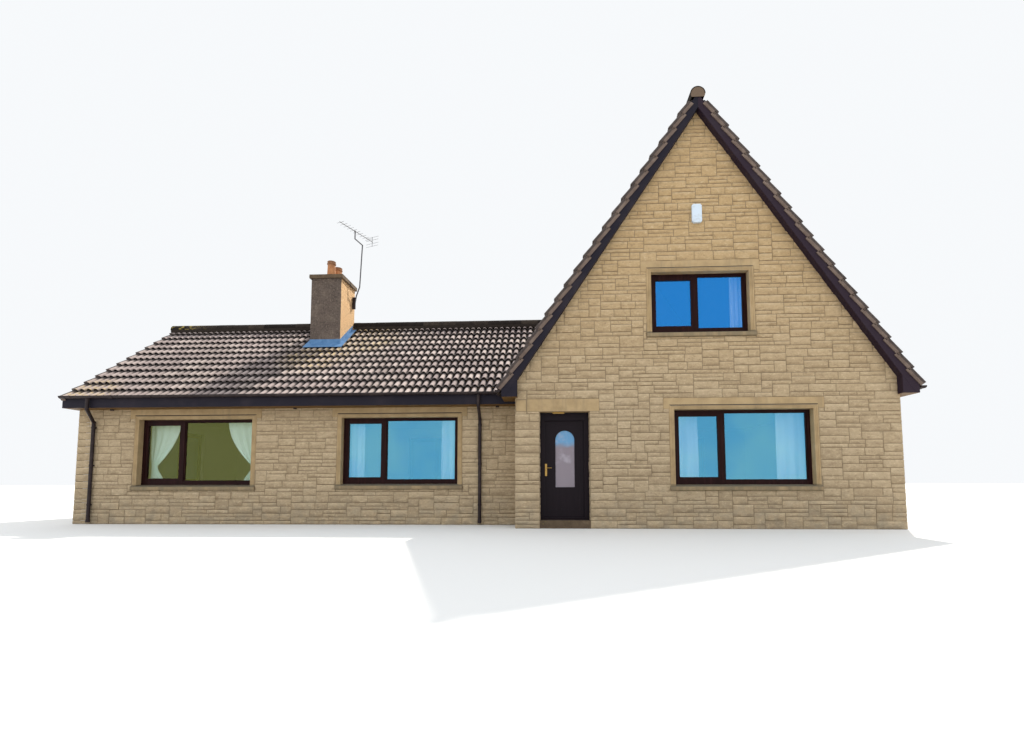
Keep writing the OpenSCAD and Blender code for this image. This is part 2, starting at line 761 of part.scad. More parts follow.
module chimney_flashing() color("#7f8891") place() difference() {
    n0 = wing_rafter_t + tile_t;
    t = lead_t;
    y0 = stack_y - 170;
    y1 = stack_y + stack_d - 100;
    union() {
        // apron on the tiles
        along_x(stack_x - 110, stack_x + stack_w + 110) polygon([
            [y0, wz(y0, n0)], [y1, wz(y1, n0)], [y1, wz(y1, n0 + t)], [y0, wz(y0, n0 + t)]
        ]);
        // upstand round the stack
        along_x(stack_x - t, stack_x + stack_w + t) polygon([
            [stack_y - t, wz(stack_y, n0)], [y1, wz(y1, n0)],
            [y1, wz(y1, n0) + upstand_h], [stack_y - t, wz(stack_y, n0) + upstand_h]
        ]);
    }
    chimney_space();
}

// the mast leans out on two wall brackets and cranks back under the aerial
module aerial_mast() color("#9aa0a4") place() translate([stack_x + stack_w, mast_y, stack_z]) {
    h = mast_top;
    p = [
        [57, 0, -0.315 * h], [102, 0, -0.125 * h], [188, 0, 0.034 * h], [239, 0, 0.763 * h],
        [26, 0, 0.882 * h], [26, 0, h]
    ];
    for (k = [0:4]) rod(p[k], p[k + 1], mast_d);
    for (k = [1:4]) translate(p[k]) sphere(d = mast_d + 4);
    for (z = [-0.29 * h, -0.19 * h]) block([0, -15, z], [70, 15, z + 24]);
}

module aerial() color("#9aa0a4") place() translate([stack_x + stack_w, mast_y, stack_z + mast_top + 25]) {
    a = [-185, -537, 0];
    b = [287, 667, 0];
    rod(a, b, 18);
    u = (b - a) / norm(b - a);
    c = [-u[1], u[0], 0];
    n = 10;
    for (k = [0:n - 1]) {
        m = a + u * (30 + k * (norm(b - a) - 200) / (n - 1));
        rod(m - c * 120, m + c * 120, 7);
    }
    // reflector
    r = b - u * 25;
    for (z = [-130, -50, 50, 130]) rod(r - c * 220 + [0, 0, z], r + c * 220 + [0, 0, z], 7);
    rod(r - [0, 0, 135], r + [0, 0, 135], 12);
    // clamp on the mast
    block([10, -25, -25], [42, 25, 10]);
}

// windows
// section of the surround's moulding: depth from the wall face, height down from the outer edge
function moulding() = [
    [reveal, 0], [-surround_proud + 20, 0], [-surround_proud, -26], [-surround_proud, -38],
    [-surround_proud + 8, -40], [-surround_proud + 8, -46], [-surround_proud, -48], [-surround_proud, -64],
    [-surround_proud + 9, -66], [-surround_proud + 9, -74], [-surround_proud + 4, -76],
    [-surround_proud + 4, -surround_w + 10], [-surround_proud + 14, -surround_w], [reveal, -surround_w]
];

// a run of the moulding over length l, its ends cut at 45 degrees towards the inside
module moulding_run(l, left = true, right = true) intersection() {
    along_x(0, l) polygon(moulding());
    along_y(-surround_proud - eps, reveal + eps) polygon([
        [0, 0], [l, 0], [right ? l - surround_w : l, -surround_w], [left ? surround_w : 0, -surround_w]
    ]);
}

module surround(w) {
    wide = w[2] + 2 * surround_w;
    high = w[3] + surround_w + 34;
    x0 = w[0] - surround_w;
    z1 = w[1] + w[3] + surround_w;
    translate([x0, 0, z1]) moulding_run(wide);
    translate([x0 + wide, 0, z1]) rotate([0, 90, 0]) moulding_run(high, true, false);
    translate([x0, 0, z1 - high]) rotate([0, -90, 0]) moulding_run(high, false, true);
    along_x(x0, x0 + wide) sill_outline(w[1]);
    // the nose runs on past the jambs
    intersection() {
        along_x(x0 - 12, x0 + wide + 12) sill_outline(w[1]);
        block([x0 - 20, -sill_over - eps, w[1] - sill_h - eps], [x0 + wide + 20, 0, w[1]]);
    }
}

// weathered top, rounded nose and drip groove
module sill_outline(z) {
    b = z - sill_h;
    n = -sill_over;
    polygon([
        [reveal, b], [reveal, z], [0, z - 22], [n + 8, z - 30], [n, z - 40], [n, b + 8], [n + 8, b],
        [n + 18, b], [n + 18, b + 10], [n + 28, b + 10], [n + 28, b]
    ]);
}

module lintel(w, h = lintel_h) difference() {
    block([w[0] - 2 * surround_w - 12, -lintel_proud, w[1] + w[3] + 14],
        [w[0] + w[2] + 2 * surround_w + 12, reveal, w[1] + w[3] + 14 + h]);
    block([w[0] - surround_w, -surround_proud - eps, w[1]],
        [w[0] + w[2] + surround_w, reveal + eps, w[1] + w[3] + surround_w]);
}

// timber frame with a casement on the left and a fixed light on the right
module window_frame(w, share) {
    f = frame_w;
    x1 = w[0] + w[2];
    z1 = w[1] + w[3];
    xm = w[0] + w[2] * share;
    along_y(frame_y, frame_y + frame_d) difference() {
        translate([w[0], w[1]]) square([w[2], w[3]]);
        translate([w[0] + f, w[1] + 75]) square([xm - 32 - w[0] - f, w[3] - 75 - 40]);
        translate([xm + 32, w[1] + 75]) square([x1 - f - xm - 32, w[3] - 75 - 40]);
    }
    // casement sash
    along_y(frame_y + 6, frame_y + 56) difference() {
        translate([w[0] + f, w[1] + 75]) square([xm - 32 - w[0] - f, w[3] - 75 - 40]);
        translate([w[0] + f + 52, w[1] + 143]) square([xm - 84 - w[0] - f - 52, w[3] - 143 - 120]);
    }
    // glazing beads of the fixed light
    along_y(frame_y + 16, frame_y + 56) difference() {
        translate([xm + 32, w[1] + 75]) square([x1 - f - xm - 32, w[3] - 75 - 40]);
        translate([xm + 56, w[1] + 99]) square([x1 - f - 24 - xm - 56, w[3] - 99 - 64]);
    }
}

module window_panes(w, share) {
    f = frame_w;
    x1 = w[0] + w[2];
    xm = w[0] + w[2] * share;
    along_y(pane_y, pane_y + pane_t) {
        translate([w[0] + f + 52, w[1] + 143]) square([xm - 84 - w[0] - f - 52, w[3] - 143 - 120]);
        translate([xm + 56, w[1] + 99]) square([x1 - f - 24 - xm - 56, w[3] - 99 - 64]);
    }
}

module front_surrounds() color("#d3c39a") place() {
    surround(win_gable);
    surround(win_upper);
    translate([0, wing_y, 0]) {
        surround(win_left);
        surround(win_right);
    }
}

module rear_surrounds() color("#d3c39a") place() {
    translate([0, gable_d, 0]) mirror([0, 1, 0]) {
        surround(win_gable);
        surround(win_upper);
        translate([0, wing_y, 0]) {
            surround(win_left);
            surround(win_right);
        }
    }
    on_right_wall() surround(side_win);
    on_wing_end() surround(side_win);
}

module window_lintels() color("#d3c39a") place() {
    both_ends() {
        lintel(win_gable);
        lintel(win_upper);
        translate([0, wing_y, 0]) {
            lintel(win_left, low_lintel(win_left));
            lintel(win_right, low_lintel(win_right));
        }
    }
    on_right_wall() lintel(side_win);
    on_wing_end() lintel(side_win);
}

module front_window_frames() color("#4a2320") place() {
    window_frame(win_gable, share_low);
    window_frame(win_upper, share_up);
    translate([0, wing_y, 0]) {
        window_frame(win_left, share_low);
        window_frame(win_right, share_low);
    }
}

module rear_window_frames() color("#4a2320") place() {
    translate([0, gable_d, 0]) mirror([0, 1, 0]) {
        window_frame(win_gable, share_low);
        window_frame(win_upper, share_up);
        translate([0, wing_y, 0]) {
            window_frame(win_left, share_low);
            window_frame(win_right, share_low);
        }
    }
    on_right_wall() window_frame(side_win, share_up);
    on_wing_end() window_frame(side_win, share_up);
}

module front_glass() color("#8fb4d6", 0.4) place() {
    window_panes(win_gable, share_low);
    window_panes(win_upper, share_up);
    translate([0, wing_y, 0]) {
        window_panes(win_left, share_low);
        window_panes(win_right, share_low);
    }
}

module rear_glass() color("#8fb4d6", 0.4) place() {
    translate([0, gable_d, 0]) mirror([0, 1, 0]) {
        window_panes(win_gable, share_low);
        window_panes(win_upper, share_up);
        translate([0, wing_y, 0]) {
            window_panes(win_left, share_low);
            window_panes(win_right, share_low);
        }
    }
    on_right_wall() window_panes(side_win, share_up);
    on_wing_end() window_panes(side_win, share_up);
}

// door
module door_lintel() color("#d3c39a") place()
    block([lintel_left, -lintel_proud, door_h], [lintel_right, wall_t, door_h + door_lintel_h]);

module door_frame() color("#1d1a22") place() {
    x1 = door_x + door_w;
    stop = leaf_y - leaf_gap;
    // outer part with the stop
    along_y(door_recess, stop) difference() {
        translate([door_x, 0]) square([door_w, door_h]);
        translate([door_x + jamb_w, threshold_h])
            square([door_w - 2 * jamb_w, door_h - door_head_h - threshold_h]);
    }
    // rebate round the leaf
    along_y(stop - eps, wall_t) difference() {
        translate([door_x, 0]) square([door_w, door_h]);
        translate([leaf_l - leaf_gap, leaf_bottom - leaf_gap])
            square([leaf_r - leaf_l + 2 * leaf_gap, leaf_top - leaf_bottom + 2 * leaf_gap]);
    }
    // hinge plates, outer knuckles and pins
    for (z = hinge_heights) {
        block([hinge_x + 4, wall_t - eps, z], [hinge_x + 44, wall_t + 3, z + 100]);
        for (k = [z, z + 78]) {
            translate([hinge_x, hinge_y, k]) cylinder(h = 22, d = 13);
            block([hinge_x, wall_t + 1, k], [hinge_x + 12, hinge_y, k + 22]);
        }
        translate([hinge_x, hinge_y, z]) cylinder(h = 100, d = 6);
    }
}

module arch_outline(grow) {
    r = arch_w / 2 + grow;
    translate([0, arch_top - arch_w / 2]) circle(r = r, $fn = 64);
    translate([-r, arch_bottom - grow]) square([2 * r, arch_top - arch_w / 2 - arch_bottom + grow]);
}

module door_leaf() color("#1d1a22") place() difference() {
    union() {
        along_y(leaf_y + 4, wall_t) translate([leaf_l, leaf_bottom])
            square([leaf_r - leaf_l, leaf_top - leaf_bottom]);
        // raised border
        along_y(leaf_y, leaf_y + 5) difference() {
            translate([leaf_l + 71, 180]) square([leaf_r - leaf_l - 142, leaf_top - 61 - 180]);
            translate([leaf_l + 97, 206]) square([leaf_r - leaf_l - 194, leaf_top - 87 - 206]);
        }
        // moulding round the arched pane
        along_y(leaf_y, leaf_y + 5) translate([arch_x, 0]) arch_outline(38);
        // hinge plates and middle knuckles
        for (z = hinge_heights) {
            block([leaf_r - 36, wall_t - eps, z], [leaf_r, wall_t + 3, z + 100]);
            translate([hinge_x, hinge_y, z + 25]) cylinder(h = 50, d = 13);
            block([leaf_r - 6, wall_t + 1, z + 25], [hinge_x, hinge_y, z + 75]);
        }
    }
    for (z = hinge_heights) translate([hinge_x, hinge_y, z]) cylinder(h = 100, d = 8);
    along_y(leaf_y - eps, wall_t + eps) translate([arch_x, 0]) arch_outline(0);
    translate([lever_x, leaf_y - eps, lever_z]) rotate([-90, 0, 0])
        cylinder(h = leaf_t + 2 * eps, d = spindle_d + 8);
}

module door_glass() color("#7e8aa0", 0.5) place()
    along_y(leaf_y + 14, leaf_y + 34) translate([arch_x, 0]) arch_outline(0);

module door_plates() color("#b08d45") place() for (y = [[leaf_y + 4 - 8, leaf_y + 4], [wall_t, wall_t + 8]])
    difference() {
        block([lever_x - 20, y[0], lever_z - 160], [lever_x + 20, y[1], lever_z + 81]);
        translate([lever_x, y[0] - eps, lever_z]) rotate([-90, 0, 0]) cylinder(h = 10, d = spindle_d + 0.6);
    }

module door_lever() color("#b08d45") place() {
    translate([lever_x, leaf_y - 50, lever_z]) rotate([-90, 0, 0]) cylinder(h = leaf_t + 100, d = spindle_d);
    for (y = [leaf_y - 50, wall_t + 34]) {
        translate([lever_x, y, lever_z]) rotate([-90, 0, 0]) cylinder(h = 16, d = 24);
        translate([lever_x, y + 8, lever_z]) rotate([0, 90, 0]) cylinder(h = 108, d = 15);
        translate([lever_x + 108, y + 8, lever_z]) sphere(d = 15);
    }
}

// curtains
// a hanging cloth from x0 to x1 with n folds of depth d
module folds(x0, x1, y, z0, z1, n, d) {
    s = (x1 - x0) / (2 * n);
    translate([0, 0, z0]) linear_extrude(z1 - z0) polygon(concat(
        [for (k = [0:2 * n]) [x0 + k * s, y + (k % 2) * d]],
        [for (k = [2 * n:-1:0]) [x0 + k * s, y + (k % 2) * d + 6]]
    ));
}

// the height of a window's curtain rail
function rail_z(w) = w[1] + w[3] + 60;

// a pair at a window: left and right are the shares of its width that they cover, n folds each
module curtain_pair(w, y, left, right, n) {
    x1 = w[0] + w[2];
    drop = w[1] + 10;
    if (left > 0) folds(w[0], w[0] + left * w[2], y + rail_out - 20, drop, rail_z(w), n, 60);
    folds(x1 - right * w[2], x1, y + rail_out - 20, drop, rail_z(w), n, 60);
}

module gable_curtains() color("#dfe8ee") place() {
    curtain_pair(win_gable, wall_t, 0.206, 0.215, 3);
    curtain_pair(win_upper, wall_t, 0, 0.137, 3);
}

module wing_left_curtains() color("#cfe3d6") place() curtain_pair(win_left, inner_y, 0.254, 0.183, 4);
module wing_right_curtains() color("#cfdcec") place() curtain_pair(win_right, inner_y, 0.155, 0.167, 3);

module curtain_rails() color("#e6e2da") place() {
    for (w = [[win_gable, wall_t], [win_upper, wall_t], [win_left, inner_y], [win_right, inner_y]]) {
        x0 = w[0][0] - 40;
        x1 = w[0][0] + w[0][2] + 40;
        z = rail_z(w[0]);
        block([x0, w[1] + rail_out, z], [x1, w[1] + rail_out + 30, z + 16]);
        for (x = [x0 + 30, x1 - 60]) block([x, w[1], z], [x + 30, w[1] + rail_out + eps, z + 16]);
    }
}

// small fittings
module alarm_box() color("#e9e4d8") place() translate([mid_x - 144, 0, alarm_z]) {
    block([0, -60, 20], [190, 0, 356]);
    block([20, -64, 0], [170, 0, 376]);
}

module soffit_fixtures() color("#d8d2c6") place() for (x = [-wing_w + 822, -wing_w / 2 + 62, -431])
    translate([x, wing_y - 100, wing_box_z - 30]) cylinder(h = 30, d = 70);

module door_light() color("#c2a878") place() {
    block([door_x + 263, 90, door_h - 32], [door_x + 491, 130, door_h]);
}

ground_floor();
first_floor();
wing_ceiling();
front_wall_left();
front_wall_right();
front_wall_upper();
return_walls();
gable_rear_wall();
gable_right_wall();
wing_front_wall();
wing_rear_wall();
wing_end_wall();
gable_roof_deck();
wing_roof_deck();
gable_roof_tiles();
wing_roof_tiles();
gable_ridge_tiles();
wing_ridge_tiles();
bargeboards();
verge_soffits();
wing_bargeboard();
wing_verge_soffit();
gable_eaves_boards();
wing_eaves_boards();
gutters();
downpipes();
chimney_stack();
chimney_cope();
chimney_pots();
chimney_flashing();
aerial_mast();
aerial();
front_surrounds();
rear_surrounds();
window_lintels();
front_window_frames();
rear_window_frames();
front_glass();
rear_glass();
door_lintel();
door_frame();
door_leaf();
door_glass();
door_plates();
door_lever();
gable_curtains();
wing_left_curtains();
wing_right_curtains();
curtain_rails();
alarm_box();
soffit_fixtures();
door_light();
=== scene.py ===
"""Detached stone house: split stones, tiles, glass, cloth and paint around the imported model."""
import math
import random

import bmesh
import bpy
from mathutils import Matrix, Vector, noise


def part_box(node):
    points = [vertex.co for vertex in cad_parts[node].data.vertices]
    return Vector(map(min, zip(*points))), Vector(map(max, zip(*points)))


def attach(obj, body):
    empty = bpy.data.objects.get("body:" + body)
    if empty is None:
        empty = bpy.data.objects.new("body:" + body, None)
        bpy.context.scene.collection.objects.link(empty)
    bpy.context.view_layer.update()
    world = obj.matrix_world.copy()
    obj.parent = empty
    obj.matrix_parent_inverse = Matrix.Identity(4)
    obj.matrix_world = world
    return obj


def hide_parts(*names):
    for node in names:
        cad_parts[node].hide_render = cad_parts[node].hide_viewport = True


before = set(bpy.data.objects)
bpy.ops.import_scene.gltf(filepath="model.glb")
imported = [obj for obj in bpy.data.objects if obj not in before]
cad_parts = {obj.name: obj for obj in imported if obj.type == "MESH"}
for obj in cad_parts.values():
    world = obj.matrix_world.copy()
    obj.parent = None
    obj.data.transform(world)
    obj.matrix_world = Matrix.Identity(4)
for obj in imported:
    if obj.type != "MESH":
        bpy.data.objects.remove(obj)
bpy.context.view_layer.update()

RIGHT = Vector((1, 0, 0))
BACK = Vector((0, 1, 0))
UP = Vector((0, 0, 1))

# Places read from the frame, in metres
FRONT_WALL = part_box("front_wall_upper")
WING_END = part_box("wing_end_wall")
DOOR_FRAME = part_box("door_frame")
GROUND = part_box("ground_floor")[0][2]
CORNER = Vector((FRONT_WALL[0][0], FRONT_WALL[0][1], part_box("ground_floor")[1][2]))
WALL_T = FRONT_WALL[1][1] - FRONT_WALL[0][1]
GABLE_W = FRONT_WALL[1][0] - FRONT_WALL[0][0]
GABLE_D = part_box("gable_rear_wall")[1][1] - FRONT_WALL[0][1]
WING_W = CORNER.x - WING_END[0][0]
SETBACK = WING_END[0][1] - CORNER.y
MID_X = CORNER.x + GABLE_W / 2
MID_Y = CORNER.y + GABLE_D / 2
GABLE_APEX = FRONT_WALL[1][2]
WING_APEX = WING_END[1][2]

# Slopes and thicknesses that the roofs share with the part's source
GABLE_PITCH = math.radians(56.4)
WING_PITCH = math.radians(36.5)
GABLE_RAFTER = 0.163
WING_RAFTER = 0.086
TILE_T = 0.105
TILE_GAUGE = 0.345

# Roof tiles: width, height of the rolls, step between courses, lap, thickness at the tail and
# depth of its underside, faces across a roll, and how far from the ridge's line the courses stop
TILE_W = 0.310
ROLL_H = 0.058
TILE_STEP = 0.045
TILE_LAP = 0.03
TAIL_T = 0.017
TAIL_DEPTH = 0.060
ROLL_STEPS = 8
RIDGE_CUT = 0.09
# Ridge tiles: outer radius, thickness and length
RIDGE_R = 0.150
RIDGE_T = 0.018
RIDGE_LEN = 0.45

# Stonework: height of the lowest stone with its joint, the joint, the step that lengths are counted
# in, the shortest and longest stone in such steps, how far the rims stand out and the faces bulge,
# how deep the sides go into the mortar, and the faces' grid
MODULE = 0.0766
JOINT = 0.007
COLUMN = 0.01
SHORTEST = 18
LONGEST = 62
RIM = 0.004
BULGE = (0.006, 0.014)
SUNK = 0.002
GRID = (0.065, 0.040)
# How often a stone is one, two or three modules high, and how long it is then, in columns
HEIGHT_SHARES = (47, 47, 6)
LENGTHS = ((24, 60), (26, 56), (22, 34))
CORNER_LAP = 0.014

# Gutters: distance between fittings and of the first from the end, and the width along the gutter
# and thickness of a sleeve and of a bracket
FITTING_GAP = 0.9
FITTING_START = 0.25
SLEEVE = (0.11, 0.005)
BRACKET = (0.028, 0.0035)

# The housing at the mast's foot, and its middle below the chimney's top
HOUSING = Vector((0.080, 0.060, 0.320))
HOUSING_DROP = 0.40

# The sun's place as seen from the house, from the front towards the right, and its height
SUN_TURN = 150
SUN_HEIGHT = 49

# Thickness of a pane and of the curtains' cloth, and how deep the cloth folds
PANE_T = 0.020
CLOTH_T = 0.0012
FOLD = 0.024

# Tied curtains: how far the tie is in from the window's side, its level and pull as shares, how far
# the cloth opens again below it, and how much fuller the left and the right one are than the solid
TIE_IN = 0.05
TIE = (0.72, 0.80)
TIE_FLARE = 0.35
FULLER = (0.05, 0.30)

# How far a sill runs past its jambs, its height, the tops of the lower and the upper window's sills,
# and the dressed block beside the door's lintel
NOSE = 0.012
SILL_H = 0.112
SILL_TOPS = (0.85, 3.832)
DRESSED_BLOCK = (
    CORNER + Vector((0.010, -0.012, 2.125)),
    CORNER + Vector((0.215, 0.020, 2.360)),
)


class Socket:
    """A shader socket in an expression: arithmetic on it adds Math nodes."""

    def __init__(self, maker, out):
        self.maker = maker
        self.out = out

    def math(self, operation, first, second=0.0):
        return self.maker.add("ShaderNodeMath", {"operation": operation}, {0: first, 1: second})

    def __add__(self, other):
        return self.math("ADD", self, other)

    __radd__ = __add__

    def __sub__(self, other):
        return self.math("SUBTRACT", self, other)

    def __rsub__(self, other):
        return self.math("SUBTRACT", other, self)

    def __mul__(self, other):
        return self.math("MULTIPLY", self, other)

    __rmul__ = __mul__

    def __gt__(self, other):
        return self.math("GREATER_THAN", self, other)

    def __lt__(self, other):
        return self.math("LESS_THAN", self, other)

    def most(self, other):
        return self.math("MAXIMUM", self, other)

    def step(self, low, high):
        """0 below low, 1 above high, smooth between."""
        values = {0: self, 1: low, 2: high, 3: 0.0, 4: 1.0}
        return self.maker.add("ShaderNodeMapRange", {"interpolation_type": "SMOOTHSTEP"}, values)


class Nodes:
    """A node tree: add() makes any node, its settings first and then its values or links."""

    def __init__(self, tree):
        self.tree = tree

    def add(self, kind, settings=None, inputs=None, out=0):
        node = self.tree.nodes.new(kind)
        for key, value in (settings or {}).items():
            if key == "stops":
                self.set_stops(node.color_ramp, value)
            else:
                setattr(node, key, value)
        for key, value in (inputs or {}).items():
            self.feed(node.inputs[key], value)
        return Socket(self, node.outputs[out])

    def feed(self, socket, value):
        if isinstance(value, Socket):
            self.tree.links.new(value.out, socket)
        elif isinstance(value, tuple) and len(value) == 3 and socket.type == "RGBA":
            socket.default_value = (*value, 1.0)
        else:
            socket.default_value = value

    def set_stops(self, ramp, stops):
        while len(ramp.elements) < len(stops):
            ramp.elements.new(0.5)
        for element, (position, colour) in zip(ramp.elements, stops):
            element.position = position
            element.color = (*colour, 1.0)


class Finish(Nodes):
    """A material whose looks are worked out from places on the object."""

    def __init__(self, name):
        self.material = bpy.data.materials.new(name)
        self.material.use_nodes = True
        super().__init__(self.material.node_tree)
        self.shader = self.tree.nodes["Principled BSDF"]
        self.place = self.add("ShaderNodeTexCoord", out="Object")

    def stretched(self, scale):
        return self.add("ShaderNodeMapping", {}, {0: self.place, 3: scale})

    def noise(self, scale, detail=4.0, rough=0.6, place=None):
        values = {"Vector": place or self.place, "Scale": scale, "Detail": detail, "Roughness": rough}
        return self.add("ShaderNodeTexNoise", {}, values)

    def cells(self, scale):
        return self.add("ShaderNodeTexVoronoi", {}, {"Vector": self.place, "Scale": scale})

    def attribute(self, name):
        return self.add("ShaderNodeAttribute", {"attribute_name": name}, {}, "Fac")

    def ramp(self, value, stops):
        return self.add("ShaderNodeValToRGB", {"stops": stops}, {0: value})

    def mix(self, first, second, share):
        return self.add("ShaderNodeMix", {"data_type": "RGBA"}, {0: share, 6: first, 7: second}, 2)

    def axis(self, index, vector=None):
        return self.add("ShaderNodeSeparateXYZ", {}, {0: vector or self.place}, index)

    def facing(self, index):
        return self.axis(index, self.add("ShaderNodeNewGeometry", out="Normal"))

    def near(self, point, reach):
        """1 at a point, 0 from reach metres on."""
        values = {0: self.place, 1: tuple(point)}
        away = self.add("ShaderNodeVectorMath", {"operation": "DISTANCE"}, values, "Value")
        return 1 - away.step(0.0, reach)

    def finish(self, colour, rough=0.6, height=None, strength=0.4, reach=0.004, **constants):
        links = {"Base Color": colour, "Roughness": rough}
        if height is not None:
            values = {"Strength": strength, "Distance": reach, "Height": height}
            links["Normal"] = self.add("ShaderNodeBump", {}, values)
        for key, value in {**links, **constants}.items():
            self.feed(self.shader.inputs[key.replace("_", " ")], value)
        return self.material


# Stone and mortar
def split_stone():
    f = Finish("split_stone")
    tone = f.attribute("tone")
    cloud = f.noise(5.0, 5.0, 0.6)
    grit = f.noise(170.0, 4.0, 0.7)
    chips = f.noise(22.0, 6.0, 0.75, f.stretched((1.0, 1.0, 1.6)))
    beds = f.noise(9.0, 6.0, 0.7, f.stretched((1.0, 1.0, 1.9)))
    colour = f.ramp(tone * 0.45 + cloud * 0.55, [
        (0.20, (0.415, 0.312, 0.194)), (0.42, (0.478, 0.362, 0.226)),
        (0.60, (0.510, 0.390, 0.246)), (0.85, (0.555, 0.432, 0.284)),
    ])
    # warmer towards the top: painted warm light
    warm = f.axis(2).step(GROUND + 1.5, GROUND + 6.5)
    colour = f.mix(colour, (0.585, 0.385, 0.172), warm * 0.65)
    # painted highlight on the faces that turn up, and painted shade on the faces that turn down
    colour = f.mix(colour, (0.740, 0.590, 0.385), f.facing(2).step(0.03, 0.40) * 0.45)
    colour = f.mix(colour, (0.240, 0.170, 0.095), f.facing(2).step(-0.03, -0.40) * 0.35)
    # painted shade in the hollows of the same noise that makes the bump, and painted highlight on its
    # ridges
    colour = f.mix(colour, (0.260, 0.182, 0.104), (beds + chips).step(0.98, 0.74) * 0.55)
    colour = f.mix(colour, (0.740, 0.595, 0.385), (beds + chips).step(1.02, 1.24) * 0.50)
    colour = f.mix(colour, (0.33, 0.245, 0.145), grit.step(0.55, 0.78) * 0.3)
    # darker on each stone's rim and sides along the joints: painted shade
    colour = f.mix(colour, (0.215, 0.155, 0.090), f.attribute("rim").step(0.55, 1.0) * 0.40)
    low = 1 - f.axis(2).step(GROUND, GROUND + 1.0)
    colour = f.mix(colour, (0.25, 0.22, 0.165), low * cloud.step(0.35, 0.7) * 0.5)
    return f.finish(colour, 0.92, chips + beds * 1.3 + grit * 0.2, 1.0, 0.016)


def mortar(name, axis, plane, side):
    """Mortar outside and plaster inside: the room lies past the plane across an axis, on a side."""
    f = Finish(name)
    grain = f.noise(240.0, 3.0, 0.7)
    damp = f.noise(2.2, 3.0)
    colour = f.mix((0.31, 0.240, 0.150), (0.24, 0.182, 0.116), damp.step(0.4, 0.7))
    colour = f.mix(colour, (0.21, 0.17, 0.115), grain.step(0.5, 0.8) * 0.5)
    colour = f.mix(colour, (0.70, 0.67, 0.61), (f.axis(axis) - plane) * side > 0.0)
    return f.finish(colour, 0.95, grain, 0.5, 0.004)


def dressed_stone():
    f = Finish("dressed_stone")
    cloud = f.noise(3.5, 5.0, 0.6)
    grain = f.noise(190.0, 4.0, 0.7)
    colour = f.ramp(cloud, [
        (0.30, (0.370, 0.262, 0.138)), (0.50, (0.462, 0.330, 0.176)), (0.72, (0.525, 0.385, 0.215)),
    ])
    streak = f.noise(7.0, 4.0, 0.6, f.stretched((1, 1, 0.12)))
    colour = f.mix(colour, (0.26, 0.20, 0.125), streak.step(0.52, 0.8) * 0.5)
    up = f.facing(2).step(0.08, 0.45)
    colour = f.mix(colour, (0.090, 0.078, 0.058), up * (cloud.step(0.2, 0.5) * 0.4 + 0.55))
    for top in SILL_TOPS:
        sill = f.axis(2).step(top - 0.14, top - 0.12) * f.axis(2).step(top + 0.005, top - 0.005)
        colour = f.mix(colour, (0.160, 0.132, 0.085), sill * (streak.step(0.30, 0.60) * 0.4 + 0.35))
    colour = f.mix(colour, (0.22, 0.175, 0.115), grain.step(0.58, 0.8) * 0.35)
    return f.finish(colour, 0.88, grain + cloud * 0.5, 0.45, 0.004)


def roughcast():
    f = Finish("roughcast")
    pebbles = f.cells(95.0)
    lumps = f.noise(24.0, 5.0, 0.85)
    cloud = f.noise(4.0, 5.0)
    swirl = f.noise(13.0, 6.0, 0.75)
    colour = f.ramp(cloud * 0.6 + swirl * 0.4, [
        (0.30, (0.075, 0.056, 0.047)), (0.50, (0.150, 0.112, 0.092)), (0.72, (0.260, 0.200, 0.155)),
    ])
    # the faces towards the right, where the sun falls, painted much paler and orange: painted sunlight
    painted_sun_side = f.facing(0).step(0.4, 0.9)
    colour = f.mix(colour, (0.98, 0.62, 0.31), painted_sun_side * 0.93)
    # paler on the raised lumps and darker in the hollows between them, less so on the sunlit side: painted
    # highlight and painted shade on the relief
    colour = f.mix(colour, (0.36, 0.28, 0.21), lumps.step(0.54, 0.62) * (0.55 - painted_sun_side * 0.45))
    colour = f.mix(colour, (0.050, 0.040, 0.034), lumps.step(0.46, 0.38) * (0.75 - painted_sun_side * 0.25))
    colour = f.mix(colour, (0.055, 0.048, 0.042), pebbles.step(0.40, 0.75) * 0.3)
    return f.finish(colour, 0.95, pebbles * -1.0 + lumps * 1.5, 0.9, 0.014)


def cast_concrete():
    f = Finish("cast_concrete")
    cloud = f.noise(6.0, 5.0)
    colour = f.ramp(cloud, [
        (0.3, (0.070, 0.046, 0.028)), (0.6, (0.135, 0.092, 0.056)), (0.8, (0.220, 0.160, 0.100)),
    ])
    colour = f.mix(colour, (0.30, 0.23, 0.07), f.noise(22.0, 3.0).step(0.60, 0.72) * 0.5)
    return f.finish(colour, 0.93, f.noise(130.0, 4.0), 0.6, 0.004)


# Roof
def lichen_places():
    """Where yellow lichen gathers: low on the left, and right below and beside the chimney."""
    right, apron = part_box("chimney_stack")[1][0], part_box("chimney_flashing")[0]
    return [
        (Vector((WING_END[0][0] + 0.3, WING_END[0][1] - 0.2, CORNER.z + 2.6)), 1.1),
        (Vector((right - 0.35, apron[1] - 0.45, apron[2] - 0.30)), 1.3),
        (Vector((right + 0.55, MID_Y - 0.55, WING_APEX - 0.35)), 1.4),
        (Vector((right + 0.35, apron[1] + 0.40, apron[2] + 0.30)), 0.9),
    ]


